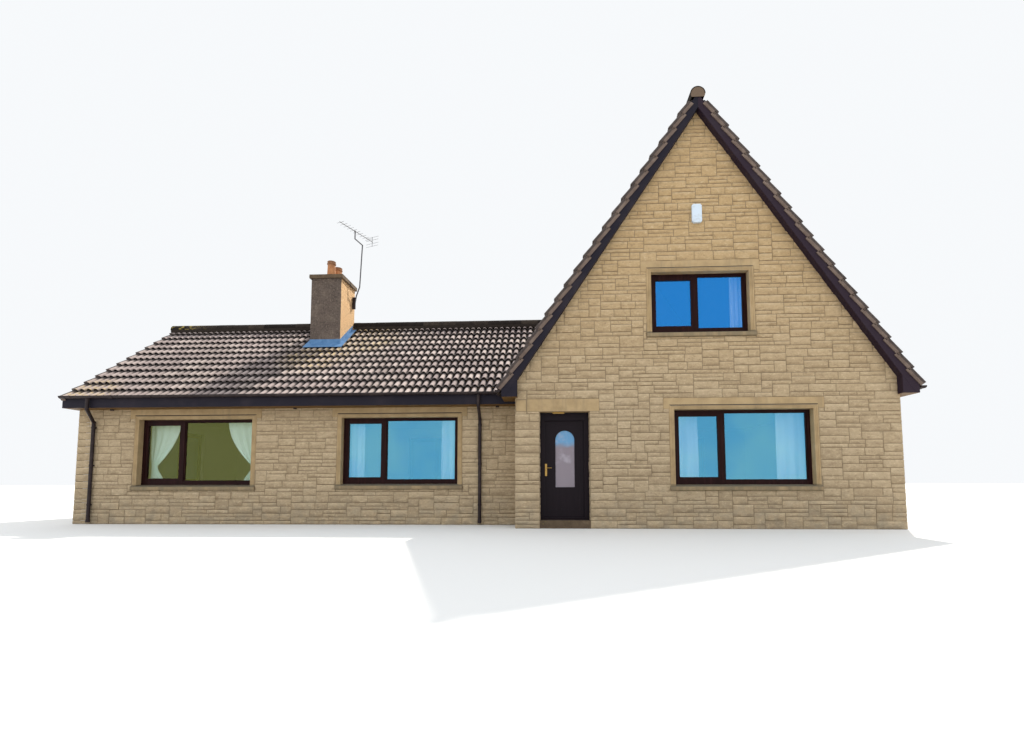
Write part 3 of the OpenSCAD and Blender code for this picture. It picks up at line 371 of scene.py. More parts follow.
def roof_tile():
    f = Finish("roof_tile")
    tone = f.attribute("tone")
    cloud = f.noise(2.0, 5.0, 0.65)
    grit = f.noise(220.0, 4.0, 0.75)
    colour = f.ramp(tone * 0.35 + cloud * 0.65, [
        (0.25, (0.270, 0.218, 0.210)), (0.45, (0.370, 0.302, 0.288)),
        (0.62, (0.470, 0.392, 0.366)), (0.85, (0.600, 0.512, 0.470)),
    ])
    patches = f.noise(14.0, 6.0, 0.8).step(0.44, 0.62)
    where = 0.0
    for point, reach in lichen_places():
        where = f.near(point, reach) + where
    colour = f.mix(colour, (0.62, 0.46, 0.17), patches * where.step(0.05, 0.6) * 0.9)
    colour = f.mix(colour, (0.33, 0.30, 0.22), patches * f.noise(0.7, 2.0).step(0.5, 0.62) * 0.35)
    colour = f.mix(colour, (0.05, 0.042, 0.04), grit.step(0.55, 0.8) * 0.4)
    # darker towards the wing's left end: painted shade
    colour = f.mix((0.24, 0.20, 0.19), colour, f.axis(0).step(WING_END[0][0], CORNER.x) * 0.4 + 0.6)
    # near-black in the pans between the rolls: painted shade
    pan = 1 - (f.attribute("crown") + cloud * 0.2).step(0.10, 0.85)
    colour = f.mix(colour, (0.024, 0.020, 0.021), pan * 0.90)
    # near-black on the upper part of each course, under the tail of the course above: painted shadow
    painted_tail_shadow = (f.attribute("rise") - f.attribute("crown") * 0.10).step(0.38, 0.68)
    colour = f.mix(colour, (0.016, 0.013, 0.014), painted_tail_shadow * 0.93)
    # near-black on the tails' edges and undersides: partly dirt, partly painted shade
    colour = f.mix(colour, (0.014, 0.012, 0.012), f.attribute("tail").step(0.2, 0.8) * 0.95)
    height = grit * 0.6 + f.noise(60.0) * 0.7
    return f.finish(colour, 0.90, height, 0.5, 0.004, Specular_IOR_Level=0.2)


def verge_tile():
    f = Finish("verge_tile")
    edge = f.attribute("edge")
    cloud = f.noise(7.0, 5.0)
    grit = f.noise(200.0, 3.0)
    lip = f.ramp(cloud, [(0.3, (0.120, 0.082, 0.066)), (0.7, (0.210, 0.155, 0.125))])
    top = f.ramp(cloud, [(0.3, (0.050, 0.038, 0.036)), (0.7, (0.110, 0.086, 0.078))])
    colour = f.mix(lip, top, edge.step(0.42, 0.52))
    colour = f.mix(colour, (0.05, 0.045, 0.04), grit.step(0.55, 0.8) * 0.4)
    return f.finish(colour, 0.92, grit, 0.5, 0.004)


def ridge_tile():
    f = Finish("ridge_tile")
    tone = f.attribute("tone")
    cloud = f.noise(8.0, 5.0, 0.7)
    colour = f.ramp(tone * 0.35 + cloud * 0.6, [
        (0.25, (0.012, 0.009, 0.008)), (0.5, (0.026, 0.020, 0.017)), (0.8, (0.065, 0.050, 0.038)),
    ])
    left_end = f.near((WING_END[0][0], MID_Y, WING_APEX + 0.3), 1.2)
    colour = f.mix(colour, (0.42, 0.33, 0.09), f.noise(9.0, 4.0).step(0.50, 0.62) * left_end * 0.8)
    # the mortar under the ridge tiles painted near-black, as the shade beneath them; brown only on the
    # gable ridge's front end
    filled = f.attribute("fill").step(0.4, 0.6)
    colour = f.mix(colour, (0.034, 0.027, 0.023), filled)
    gable_end = f.facing(1).step(-0.6, -0.9) * f.axis(2).step(WING_APEX + 1, WING_APEX + 2)
    colour = f.mix(colour, (0.175, 0.125, 0.090), filled * gable_end)
    colour = f.mix(colour, (0.04, 0.036, 0.034), f.noise(180.0).step(0.5, 0.8) * 0.5)
    return f.finish(colour, 0.9, f.noise(90.0, 5.0), 0.5, 0.004, Specular_IOR_Level=0.1)


def terracotta():
    f = Finish("terracotta")
    cloud = f.noise(9.0, 4.0)
    colour = f.ramp(cloud, [
        (0.3, (0.36, 0.145, 0.060)), (0.6, (0.52, 0.235, 0.100)), (0.8, (0.60, 0.33, 0.17)),
    ])
    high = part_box("chimney_pots")[1][2]
    colour = f.mix(colour, (0.13, 0.075, 0.05), f.axis(2).step(high - 0.20, high - 0.02) * 0.65)
    return f.finish(colour, 0.85, f.noise(120.0), 0.4, 0.003)


def sheet_lead():
    f = Finish("sheet_lead")
    cloud = f.noise(7.0, 5.0)
    # saturated blue: painted sky reflection on the lead
    colour = f.ramp(cloud, [(0.3, (0.060, 0.165, 0.34)), (0.7, (0.130, 0.265, 0.47))])
    return f.finish(
        colour, 0.6 + cloud * 0.2, f.noise(25.0), 0.5, 0.006, Metallic=0.1, Specular_IOR_Level=0.3
    )


# Paint, plastic and metal
def dark_boards():
    """Plum paint on the boards, paler on the right slope as painted light, and brown on what faces
    straight down under the eaves.
    """
    f = Finish("dark_boards")
    grain = f.noise(30.0, 5.0, 0.6, f.stretched((0.15, 0.15, 1.0)))
    cloud = f.noise(1.6, 3.0)
    # paler plum on the right slope: painted light
    right = f.axis(0).step(MID_X - 0.01, MID_X + 0.01)
    colour = f.mix((0.011, 0.009, 0.018), (0.024, 0.013, 0.024), right)
    colour = f.mix(colour, (0.040, 0.031, 0.040), cloud.step(0.45, 0.8) * 0.5)
    colour = f.mix(colour, (0.150, 0.078, 0.020), f.facing(2).step(-0.90, -0.97))
    return f.finish(colour, 0.5 + grain * 0.25, grain, 0.15, 0.002, Specular_IOR_Level=0.2)


def rainwater_plastic():
    f = Finish("rainwater_plastic")
    dust = f.noise(5.0, 4.0)
    colour = f.mix((0.016, 0.009, 0.010), (0.044, 0.030, 0.030), dust.step(0.4, 0.75))
    return f.finish(colour, 0.4 + dust * 0.25, f.noise(70.0), 0.06, 0.002, Specular_IOR_Level=0.25)


def rosewood_frame():
    f = Finish("rosewood_frame")
    grain = f.noise(26.0, 6.0, 0.65, f.stretched((1.0, 1.0, 0.08)))
    colour = f.ramp(grain, [
        (0.3, (0.010, 0.002, 0.002)), (0.55, (0.020, 0.005, 0.005)), (0.8, (0.042, 0.014, 0.014)),
    ])
    return f.finish(colour, 0.42 + grain * 0.2, grain, 0.08, 0.001, Specular_IOR_Level=0.1)


def door_skin():
    f = Finish("door_skin")
    grain = f.noise(22.0, 6.0, 0.6, f.stretched((1.0, 1.0, 0.07)))
    colour = f.mix((0.005, 0.003, 0.005), (0.017, 0.010, 0.015), grain)
    return f.finish(colour, 0.36 + grain * 0.18, grain, 0.12, 0.001, Specular_IOR_Level=0.13)


def brass():
    f = Finish("brass")
    wear = f.noise(60.0, 3.0)
    colour = f.mix((0.50, 0.32, 0.10), (0.32, 0.19, 0.055), wear)
    return f.finish(colour, 0.24 + wear * 0.2, wear, 0.05, 0.001, Metallic=1.0)


def drawn_aluminium():
    f = Finish("drawn_aluminium")
    dull = f.noise(40.0, 3.0)
    colour = f.mix((0.17, 0.17, 0.18), (0.07, 0.07, 0.08), dull)
    return f.finish(colour, 0.45 + dull * 0.2, dull, 0.05, 0.001, Metallic=0.5, Specular_IOR_Level=0.3)


def white_plastic():
    f = Finish("white_plastic")
    dust = f.noise(12.0, 4.0)
    colour = f.mix((0.68, 0.79, 0.91), (0.55, 0.62, 0.68), dust.step(0.45, 0.8))
    return f.finish(colour, 0.45, f.noise(90.0), 0.05, 0.001)


# Timber, plaster, glass and cloth
def sawn_timber():
    f = Finish("sawn_timber")
    grain = f.noise(20.0, 5.0, 0.6, f.stretched((1.0, 0.1, 1.0)))
    colour = f.mix((0.26, 0.165, 0.085), (0.42, 0.29, 0.17), grain)
    return f.finish(colour, 0.8, grain, 0.3, 0.003)


def plaster():
    f = Finish("plaster")
    trowel = f.noise(5.0, 4.0)
    colour = f.mix((0.72, 0.70, 0.65), (0.62, 0.60, 0.55), trowel)
    return f.finish(colour, 0.9, trowel, 0.1, 0.003)


def front_glazing():
    """Panes with a painted blue sky reflection on the outside, deeper upstairs, and a faint painted olive
    reflection at the wing's left.
    """
    f = Finish("front_glazing")
    ripple = f.noise(0.8, 3.0, 0.5)
    upstairs = f.axis(2).step(CORNER.z + 2.7, CORNER.z + 3.3)
    left_end = 1 - f.axis(0).step(CORNER.x - 5.6, CORNER.x - 5.2)
    # the panes' colour is a painted reflection: sky blue, deeper upstairs, and olive-green at the wing's
    # left end
    colour = f.mix((0.15, 0.62, 1.0), (0.23, 0.74, 1.0), ripple.step(0.35, 0.65))
    colour = f.mix(colour, (0.035, 0.36, 1.0), upstairs)
    colour = f.mix(colour, (0.42, 0.46, 0.13), left_end)
    on_wing = f.axis(0) < CORNER.x
    outside = (f.axis(1) - on_wing * SETBACK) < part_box("front_glass")[0][1] + PANE_T / 2
    reflection_share = 0.54 + upstairs * 0.06 - left_end * 0.29
    return f.finish(colour, 0.05, ripple, 0.02, 0.001, Metallic=0.9, Alpha=outside * reflection_share)


def rear_glazing():
    f = Finish("rear_glazing")
    ripple = f.noise(0.9, 3.0, 0.5)
    # nearly opaque dark blue: painted shade of the room behind, with a painted blue reflection
    colour = f.mix((0.035, 0.085, 0.17), (0.09, 0.20, 0.34), ripple)
    return f.finish(colour, 0.05, ripple, 0.02, 0.001, Alpha=0.93)


def door_glazing():
    f = Finish("door_glazing")
    pattern = f.cells(120.0)
    cloud = f.noise(6.0, 4.0)
    # blue above mauve, with paler patches: painted reflection
    rise = (f.axis(2) + cloud * 0.2).step(CORNER.z + 1.50, CORNER.z + 1.66)
    colour = f.mix((0.30, 0.255, 0.30), (0.15, 0.40, 0.70), rise)
    colour = f.mix(colour, (0.58, 0.54, 0.64), f.noise(3.0, 3.0).step(0.5, 0.7) * 0.5)
    return f.finish(colour, 0.12, pattern, 0.5, 0.003, Alpha=0.92)


def cloth(name, pale, deep):
    f = Finish(name)
    weave = f.noise(500.0, 2.0)
    cloud = f.noise(3.0, 3.0)
    colour = f.mix(pale, deep, cloud * 0.5 + weave * 0.15)
    return f.finish(colour, 0.85, weave, 0.2, 0.001)


# Mesh helpers
def add_piece(name, bm, material, slot, body="house", angle=None):
    mesh = bpy.data.meshes.new(name)
    bm.normal_update()
    bm.to_mesh(mesh)
    bm.free()
    mesh.materials.append(material)
    piece = bpy.data.objects.new(name, mesh)
    bpy.context.collection.objects.link(piece)
    if angle is not None:
        mesh.shade_smooth()
        mesh.set_sharp_from_angle(angle=math.radians(angle))
    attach(piece, body)
    return piece


def paint(material, *names):
    for name in names:
        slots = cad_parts[name].data.materials
        slots.clear()
        slots.append(material)


def parts_of(bm):
    """The vertices of each separate part of a mesh."""
    seen = set()
    for start in bm.verts:
        if start in seen:
            continue
        part = {start}
        front = [start]
        while front:
            for edge in front.pop().link_edges:
                for vert in edge.verts:
                    if vert not in part:
                        part.add(vert)
                        front.append(vert)
        seen |= part
        yield part


def solids(name):
    """Lowest and highest corner of each separate solid of a node, left to right."""
    bm = bmesh.new()
    bm.from_mesh(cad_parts[name].data)
    bmesh.ops.remove_doubles(bm, verts=bm.verts, dist=1e-5)
    boxes = []
    for part in parts_of(bm):
        low = Vector([min(v.co[k] for v in part) for k in range(3)])
        high = Vector([max(v.co[k] for v in part) for k in range(3)])
        boxes.append((low, high))
    bm.free()
    return sorted(boxes, key=lambda pair: tuple(pair[0]))


def everything(bm):
    return bm.verts[:] + bm.edges[:] + bm.faces[:]


def made_verts(result):
    return [item for item in result["geom"] if isinstance(item, bmesh.types.BMVert)]


def made_edges(result):
    return [item for item in result["geom"] if isinstance(item, bmesh.types.BMEdge)]


def keep_side(bm, point, normal):
    """Cuts the mesh by a plane and drops what lies on the side that its normal points to."""
    bmesh.ops.bisect_plane(
        bm, geom=everything(bm), dist=1e-5, plane_co=point, plane_no=normal, clear_outer=True
    )


def drop_inside(bm, planes):
    """Drops what lies behind all the planes, each given by a point and a normal that points out."""
    for point, normal in planes:
        bmesh.ops.bisect_plane(bm, geom=everything(bm), dist=1e-5, plane_co=point, plane_no=normal)
    inside = [
        face for face in bm.faces
        if all((face.calc_center_median() - point).dot(normal) < 0 for point, normal in planes)
    ]
    bmesh.ops.delete(bm, geom=inside, context="FACES")


def add_block(name, low, high, edge, material, slot):
    """A box with its edges taken off."""
    bm = bmesh.new()
    bmesh.ops.create_cube(bm, size=1.0)
    bmesh.ops.scale(bm, verts=bm.verts, vec=high - low)
    bmesh.ops.translate(bm, verts=bm.verts, vec=(low + high) / 2)
    bmesh.ops.bevel(
        bm, geom=bm.edges[:], offset=edge, offset_type="OFFSET", segments=2, profile=0.5,
        affect="EDGES", material=-1,
    )
    add_piece(name, bm, material, slot, angle=40)


def spin_section(bm, section, centre, side, axis, angle, steps, mark=None):
    """Turns a section, given as (radius, place along the axis), from side round an axis."""
    verts = [bm.verts.new(centre + side * r + axis * a) for r, a in section]
    if mark:
        for vert in verts:
            vert[mark[0]] = mark[1]
    face = bm.faces.new(verts)
    geom = [*verts, *face.edges, face]
    bmesh.ops.spin(bm, geom=geom, cent=centre, axis=axis, angle=angle, steps=steps)


# Stonework
def lay_stones(length, height, holes, rng):
    """Stones as (left, bottom, length, height), laid row by row in the space that the holes leave."""
    columns = round(length / COLUMN)
    rows = math.ceil(height / MODULE)
    taken = [[False] * columns for _ in range(rows)]
    starts = [set() for _ in range(rows + 1)]
    ends = [set() for _ in range(rows + 1)]
    for left, bottom, wide, tall in holes:
        sides = [min(columns, max(0, round(x / COLUMN))) for x in (left, left + wide)]
        low, top = [min(rows, max(0, round(z / MODULE))) for z in (bottom, bottom + tall)]
        for row in range(low, top):
            taken[row][sides[0]:sides[1]] = [True] * (sides[1] - sides[0])
        starts[top].update(sides)
        ends[low].update(sides)
    stones = []
    for row in range(rows):
        joints = starts[row] | ends[row + 1]
        column = 0
        while column < columns:
            if taken[row][column]:
                column += 1
                continue
            stop = column + 1
            while stop < columns and not taken[row][stop] and stop not in joints:
                stop += 1
            run = stop - column
            tall = rng.choices((1, 2, 3), HEIGHT_SHARES)[0]
            long = rng.randint(*LENGTHS[tall - 1])
            if run - long < SHORTEST:
                long = run if run <= LONGEST else run // 2
            if long < SHORTEST:
                tall = 2
            while tall > 1 and not clear_above(taken, ends, row, tall, column, long):
                tall -= 1
            for k in range(row, row + tall):
                taken[k][column:column + long] = [True] * long
            stone = (column * COLUMN, row * MODULE, long * COLUMN, tall * MODULE)
            stones.append(fit_to_holes(stone, holes))
            column += long
    return stones


def clear_above(taken, ends, row, tall, column, long):
    """Whether a stone of this height is free of others and of joints that must show."""
    if row + tall > len(taken):
        return False
    if any(any(taken[k][column:column + long]) for k in range(row, row + tall)):
        return False
    return not any(column < joint < column + long for joint in ends[row + tall])


def fit_to_holes(stone, holes):
    """Moves a stone's edges onto the edges of the holes that it touches."""
    x0, z0 = stone[:2]
    x1, z1 = x0 + stone[2], z0 + stone[3]
    for left, bottom, wide, tall in holes:
        right, top = left + wide, bottom + tall
        if x0 < right - COLUMN and x1 > left + COLUMN:
            z0 = top if abs(z0 - top) < MODULE * 0.51 else z0
            z1 = bottom if abs(z1 - bottom) < MODULE * 0.51 else z1
        elif z0 < top and z1 > bottom:
            x0 = right if abs(x0 - right) < COLUMN else x0
            x1 = left if abs(x1 - left) < COLUMN else x1
    return (x0, z0, x1 - x0, z1 - z0)


def spread(index, count, size, low, high):
    """A grid line's place: the first and last on the edges, the next ones close to them."""
    if index == 0:
        return 0.0
    if index == count:
        return size
    return low + (size - low - high) * (index - 1) / (count - 2)


def add_stone(bm, tone, rim, stone, rng):
    """One split stone: a grid whose inner lines bulge out of the wall, in the wall's own frame."""
    x, z, long, tall = stone[0] + JOINT / 2, stone[1] + JOINT / 2, stone[2] - JOINT, stone[3] - JOINT
    if min(long, tall) < 0.02:
        return
    across = max(3, round(long / GRID[0]))
    up = max(3, round(tall / GRID[1]))
    bulge = rng.uniform(*BULGE) * min(1.0, 0.55 + tall * 3)
    tilt = (rng.uniform(-0.003, 0.003), rng.uniform(-0.003, 0.003))
    seed = rng.uniform(0, 100)
    shade = rng.random()
    turn = Matrix.Translation((0.5, 0, 0.5)) @ Matrix.Rotation(math.pi / 2, 4, "X")
    made = bmesh.ops.create_grid(bm, x_segments=across, y_segments=up, size=0.5, matrix=turn)
    for vert in made["verts"]:
        i = round(vert.co.x * across)
        j = round(vert.co.z * up)
        vert.co.x = x + spread(i, across, long, 0.012, 0.012)
        vert.co.z = z + spread(j, up, tall, 0.009, 0.018)
        here = Vector((vert.co.x, seed, vert.co.z))
        edge = i in (0, across) or j in (0, up)
        beds = Vector((here.x * 9, seed, here.z * 24))
        rough = noise.noise(beds) * 0.8 + noise.noise(here * 37) * 0.35
        lean = tilt[0] * (vert.co.x - x) / long + tilt[1] * (vert.co.z - z) / tall
        if edge:
            vert[rim] = 1.0
            vert.co.y = -RIM - abs(rough) * 0.003
            vert.co.x += noise.noise(here * 30) * 0.0022
            vert.co.z += noise.noise(here * 33 + Vector((7, 0, 0))) * 0.0022
        else:
            vert.co.y = -RIM - bulge * (0.8 + 0.75 * rough) - lean
        vert[tone] = shade


def stone_wall(name, material, corner, turns, length, height, holes=(), slopes=(), seed=1):
    """A wall's stones, laid in its own frame (X along, Z up, outwards -Y) and turned into place."""
    rng = random.Random(seed)
    bm = bmesh.new()
    tone = bm.verts.layers.float.new("tone")
    rim = bm.verts.layers.float.new("rim")
    for stone in lay_stones(length, height, holes, rng):
        add_stone(bm, tone, rim, stone, rng)
    rims = [edge for edge in bm.edges if edge.is_boundary]
    for vert in made_verts(bmesh.ops.extrude_edge_only(bm, edges=rims)):
        vert.co.y = SUNK
    for point, normal in slopes:
        keep_side(bm, point, normal)
    bmesh.ops.recalc_face_normals(bm, faces=bm.faces)
    place = Matrix.Translation((*corner, GROUND)) @ Matrix.Rotation(turns * math.pi / 2, 4, "Z")
    bmesh.ops.transform(bm, matrix=place, verts=bm.verts)
    add_piece(name, bm, material, "stone_wall", angle=42)


def holes_in(boxes, corner, turns, length):
    """The boxes that reach a wall's face, as (left, bottom, length, height) in the wall's own frame."""
    axis, sign = ((0, 1), (1, 1), (0, -1), (1, -1))[turns]
    face, start = corner[1 - axis], corner[axis]
    holes = []
    for low, high in boxes:
        left, right = sorted((sign * (low[axis] - start), sign * (high[axis] - start)))
        reaches = low[1 - axis] - 0.1 < face < high[1 - axis] + 0.1
        if reaches and right > 0 and left < length:
            holes.append((left, low[2] - GROUND, right - left, high[2] - low[2]))
    return holes


def gable_slopes(length, top, pitch):
    """The two planes that trim a gable's stones, in the wall's own frame."""
    middle, slope = Vector((length / 2, 0, top)), math.tan(pitch)
    return [(middle, Vector((-slope, 0, 1))), (middle, Vector((slope, 0, 1)))]


def dressed_boxes():
    """The boxes of the dressed stones, with each sill apart from the surround over it."""
    boxes = [*solids("window_lintels"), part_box("door_lintel"), DRESSED_BLOCK]
    for low, high in [*solids("front_surrounds"), *solids("rear_surrounds")]:
        along = 0 if high[0] - low[0] > high[1] - low[1] else 1
        jamb_low, jamb_high = low.copy(), high.copy()
        jamb_low[along] += NOSE
        jamb_high[along] -= NOSE
        boxes += [(jamb_low, jamb_high), (low, Vector((high[0], high[1], low[2] + SILL_H)))]
    return [tuple(Vector(corner) for corner in pair) for pair in boxes]


def build_stonework():
    """Each wall starts at its lower left corner as seen from outside, after its quarter turns."""
    material = split_stone()
    low, high = DOOR_FRAME
    front, rear = CORNER.y, CORNER.y + GABLE_D
    left, right = CORNER.x - CORNER_LAP, CORNER.x + GABLE_W + CORNER_LAP
    end = CORNER.x - WING_W
    apex, wing_apex = GABLE_APEX - GROUND, WING_APEX - GROUND
    eave = apex - math.tan(GABLE_PITCH) * GABLE_W / 2
    wide, long, deep = right - left, WING_W + CORNER_LAP, GABLE_D - 2 * SETBACK
    steep = gable_slopes(wide, apex, GABLE_PITCH)
    flat = gable_slopes(deep, wing_apex, WING_PITCH)
    doorway = (Vector((low[0], front, GROUND - MODULE)), Vector(high))
    boxes = [*dressed_boxes(), doorway]
    for name, corner, turns, length, height, slopes, seed in (
        ("gable_front_stones", (left, front), 0, wide, apex, steep, 11),
        ("gable_rear_stones", (right, rear), 2, wide, apex, steep, 12),
        ("gable_right_stones", (CORNER.x + GABLE_W, front), 1, GABLE_D, eave, (), 13),
        ("wing_front_stones", (end - CORNER_LAP, front + SETBACK), 0, long, eave, (), 14),
        ("wing_rear_stones", (CORNER.x, rear - SETBACK), 2, long, eave, (), 15),
        ("wing_end_stones", (end, rear - SETBACK), 3, deep, wing_apex, flat, 16),
    ):
        holes = holes_in(boxes, corner, turns, length)
        stone_wall(name, material, corner, turns, length, height, holes, slopes, seed)

    # the short walls where the wing is set back, and the doorway's sides down to the door frame
    stone_wall("front_return_stones", material, (CORNER.x, front + SETBACK), 3, SETBACK, eave, seed=17)
    stone_wall("rear_return_stones", material, (CORNER.x, rear), 3, SETBACK, eave, seed=18)
    recess, tall = low[1] - front, high[2] - GROUND
    threshold = [(-1, -MODULE, 3, low[2] - GROUND + MODULE)]
    stone_wall("left_jamb_stones", material, (low[0], front), 1, recess, tall, threshold, seed=19)
    stone_wall("right_jamb_stones", material, (high[0], low[1]), 3, recess, tall, threshold, seed=20)


def build_dressed_block(material):
    """The one smooth block among the split stones, beside the door's lintel."""
    low, high = DRESSED_BLOCK
    joint = Vector((JOINT, 0, JOINT)) / 2
    add_block("dressed_block", low + joint, high - joint, 0.005, material, "dressed_stone")


# Roof covering
def slope_frame(origin, way, pitch):
    """X along the roof, Y up the slope towards way, Z out of it from the timbers' underside."""
    up = way * math.cos(pitch) + UP * math.sin(pitch)
    out = UP * math.cos(pitch) - way * math.sin(pitch)
    return Matrix.Translation(origin) @ Matrix((up.cross(out), up, out)).transposed().to_4x4()


SIN_G, COS_G = math.sin(GABLE_PITCH), math.cos(GABLE_PITCH)
SIN_W, COS_W = math.sin(WING_PITCH), math.cos(WING_PITCH)
GABLE_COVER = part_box("gable_roof_tiles")
WING_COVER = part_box("wing_roof_tiles")
VERGE_Y = GABLE_COVER[0][1]
VERGE_LEN = GABLE_COVER[1][1] - VERGE_Y
WING_VERGE_X = WING_COVER[0][0]
WING_LEN = MID_X - WING_VERGE_X
LEFT_SLOPE = slope_frame((MID_X, VERGE_Y + VERGE_LEN, GABLE_APEX), RIGHT, GABLE_PITCH)
RIGHT_SLOPE = slope_frame((MID_X, VERGE_Y, GABLE_APEX), -RIGHT, GABLE_PITCH)
WING_FRONT_SLOPE = slope_frame((WING_VERGE_X, MID_Y, WING_APEX), BACK, WING_PITCH)
WING_REAR_SLOPE = slope_frame((MID_X, MID_Y, WING_APEX), -BACK, WING_PITCH)
# From each ridge down the slope to the tiles' lowest edge
GABLE_RUN = (MID_X - GABLE_COVER[0][0] - (GABLE_RAFTER + TILE_T) * SIN_G) / COS_G
WING_RUN = (MID_Y - WING_COVER[0][1] - (WING_RAFTER + TILE_T) * SIN_W) / COS_W


def roll(across):
    """Height of a double-roll tile's surface at a place across the roof."""
    t = (across / (TILE_W / 2)) % 1.0
    away = (t - 0.5) / 0.36
    return ROLL_H * math.sqrt(max(0.0, 1 - away * away))


def tiled_slope(name, material, matrix, length, run, rafter, cut, seed):
    """Courses of double-roll tiles from the eaves to the ridge; cut trims the mesh once it is in place."""
    rng = random.Random(seed)
    bm = bmesh.new()
    tone = bm.verts.layers.float.new("tone")
    tail_mark = bm.verts.layers.float.new("tail")
    crown = bm.verts.layers.float.new("crown")
    rise = bm.verts.layers.float.new("rise")
    columns = math.ceil(length / TILE_W)
    depth = TILE_GAUGE + TILE_LAP
    for course in range(math.ceil(run / TILE_GAUGE)):
        tail = -run + course * TILE_GAUGE
        shades = [rng.random() for _ in range(columns + 2)]
        lifts = [rng.uniform(-0.002, 0.003) for _ in range(columns + 2)]
        slips = [rng.uniform(-0.004, 0.004) for _ in range(columns + 2)]
        size = Matrix.Diagonal((columns * TILE_W, depth, 1, 1))
        centre = Matrix.Translation((columns * TILE_W / 2, tail + depth / 2, 0))
        made = bmesh.ops.create_grid(
            bm, x_segments=columns * 2 * ROLL_STEPS, y_segments=1, size=0.5, matrix=centre @ size
        )["verts"]
        front = set()
        for vert in made:
            tile = int((vert.co.x + 1e-4) / TILE_W)
            vert[tone] = shades[tile]
            vert[crown] = roll(vert.co.x) / ROLL_H
            vert.co.z = rafter + TILE_T - ROLL_H + roll(vert.co.x)
            if vert.co.y < tail + 0.01:
                vert.co.z += lifts[tile]
                vert.co.y += slips[tile]
                front.add(vert)
            else:
                vert.co.z -= TILE_STEP * depth / TILE_GAUGE
                vert[rise] = 1.0
        edges = dict.fromkeys(e for v in front for e in v.link_edges if front.issuperset(e.verts))
        for offset in ((0, 0, -TAIL_T), (0, TAIL_DEPTH, 0.003)):
            made = bmesh.ops.extrude_edge_only(bm, edges=list(edges))
            moved = made_verts(made)
            bmesh.ops.translate(bm, verts=moved, vec=offset)
            for vert in moved:
                vert[tail_mark] = 1.0
            ends = set(moved)
            edges = dict.fromkeys(e for e in made_edges(made) if ends.issuperset(e.verts))
    keep_side(bm, RIGHT * (length - 0.004), RIGHT)
    keep_side(bm, RIGHT * 0.004, -RIGHT)
    bmesh.ops.transform(bm, matrix=matrix, verts=bm.verts)
    cut(bm)
    bmesh.ops.recalc_face_normals(bm, faces=bm.faces)
    return add_piece(name, bm, material, "roof_tile", angle=50)


def plane(matrix, out):
    """The plane parallel to a slope, out metres above its timbers' underside."""
    return matrix @ Vector((0, 0, out)), matrix.to_3x3() @ UP


def build_tiles():
    material = roof_tile()
    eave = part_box("wing_eaves_boards")
    low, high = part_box("chimney_stack")
    surface = WING_RAFTER + TILE_T - ROLL_H
    under_wing = [
        plane(WING_FRONT_SLOPE, surface), plane(WING_REAR_SLOPE, surface),
        (BACK * (eave[0][1] - 0.05), -BACK), (BACK * (eave[1][1] + 0.05), BACK),
    ]
    in_stack = [
        (Vector(low), -RIGHT), (Vector(high), RIGHT), (Vector(low), -BACK), (Vector(high), BACK),
    ]
    point, out = plane(LEFT_SLOPE, GABLE_RAFTER + TILE_T - ROLL_H - TILE_STEP)

    def cut_left(bm):
        keep_side(bm, RIGHT * (MID_X - RIDGE_CUT), RIGHT)
        drop_inside(bm, under_wing)

    def cut_right(bm):
        keep_side(bm, RIGHT * (MID_X + RIDGE_CUT), -RIGHT)

    def cut_wing(side):
        def cut(bm):
            keep_side(bm, BACK * (MID_Y - side * RIDGE_CUT), BACK * side)
            keep_side(bm, point, -out)
            drop_inside(bm, in_stack)
        return cut

    for name, matrix, cut, seed in (
        ("gable_left_tiles", LEFT_SLOPE, cut_left, 21), ("gable_right_tiles", RIGHT_SLOPE, cut_right, 22)
    ):
        piece = tiled_slope(name, material, matrix, VERGE_LEN, GABLE_RUN, GABLE_RAFTER, cut, seed)
        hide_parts("gable_roof_tiles")
    for name, matrix, side, seed in (
        ("wing_front_tiles", WING_FRONT_SLOPE, 1, 23), ("wing_rear_tiles", WING_REAR_SLOPE, -1, 24)
    ):
        piece = tiled_slope(name, material, matrix, WING_LEN, WING_RUN, WING_RAFTER, cut_wing(side), seed)
        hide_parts("wing_roof_tiles")


# A verge unit's section: in from the end of the roof, and up from the timbers
VERGE_SECTION = [
    (0.000, -0.012), (0.000, 0.047), (0.004, 0.051), (0.004, 0.056), (0.000, 0.060), (0.000, 0.068),
    (0.004, 0.072), (0.004, 0.077), (0.000, 0.081), (0.000, 0.094), (0.006, 0.103), (0.018, 0.107),
    (0.060, 0.107), (0.088, 0.098), (0.098, 0.072), (0.098, -0.012),
]


def verge_units(name, node, material, matrix, at, side, run, rafter):
    """The stepped edge tiles along a slope's end: at is the end along the roof, side +1 inwards."""
    bm = bmesh.new()
    edge = bm.verts.layers.float.new("edge")
    for k in range(math.ceil(run / TILE_GAUGE)):
        tail = -run + k * TILE_GAUGE
        head = min(tail + TILE_GAUGE + 0.05, 0.0)
        if head - tail < 0.03:
            continue
        verts = [bm.verts.new((at + side * x, tail, rafter + z)) for x, z in VERGE_SECTION]
        for vert, (x, z) in zip(verts, VERGE_SECTION):
            vert[edge] = max(0.0, z / TILE_T)
        face = bm.faces.new(verts)
        heads = made_verts(bmesh.ops.extrude_face_region(bm, geom=[face]))
        sink = -TILE_STEP * (head - tail) / TILE_GAUGE
        bmesh.ops.translate(bm, verts=heads, vec=(0, head - tail, sink))
    bmesh.ops.recalc_face_normals(bm, faces=bm.faces)
    bmesh.ops.transform(bm, matrix=matrix, verts=bm.verts)
    piece = add_piece(name, bm, material, "roof_tile", angle=30)
    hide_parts(node)


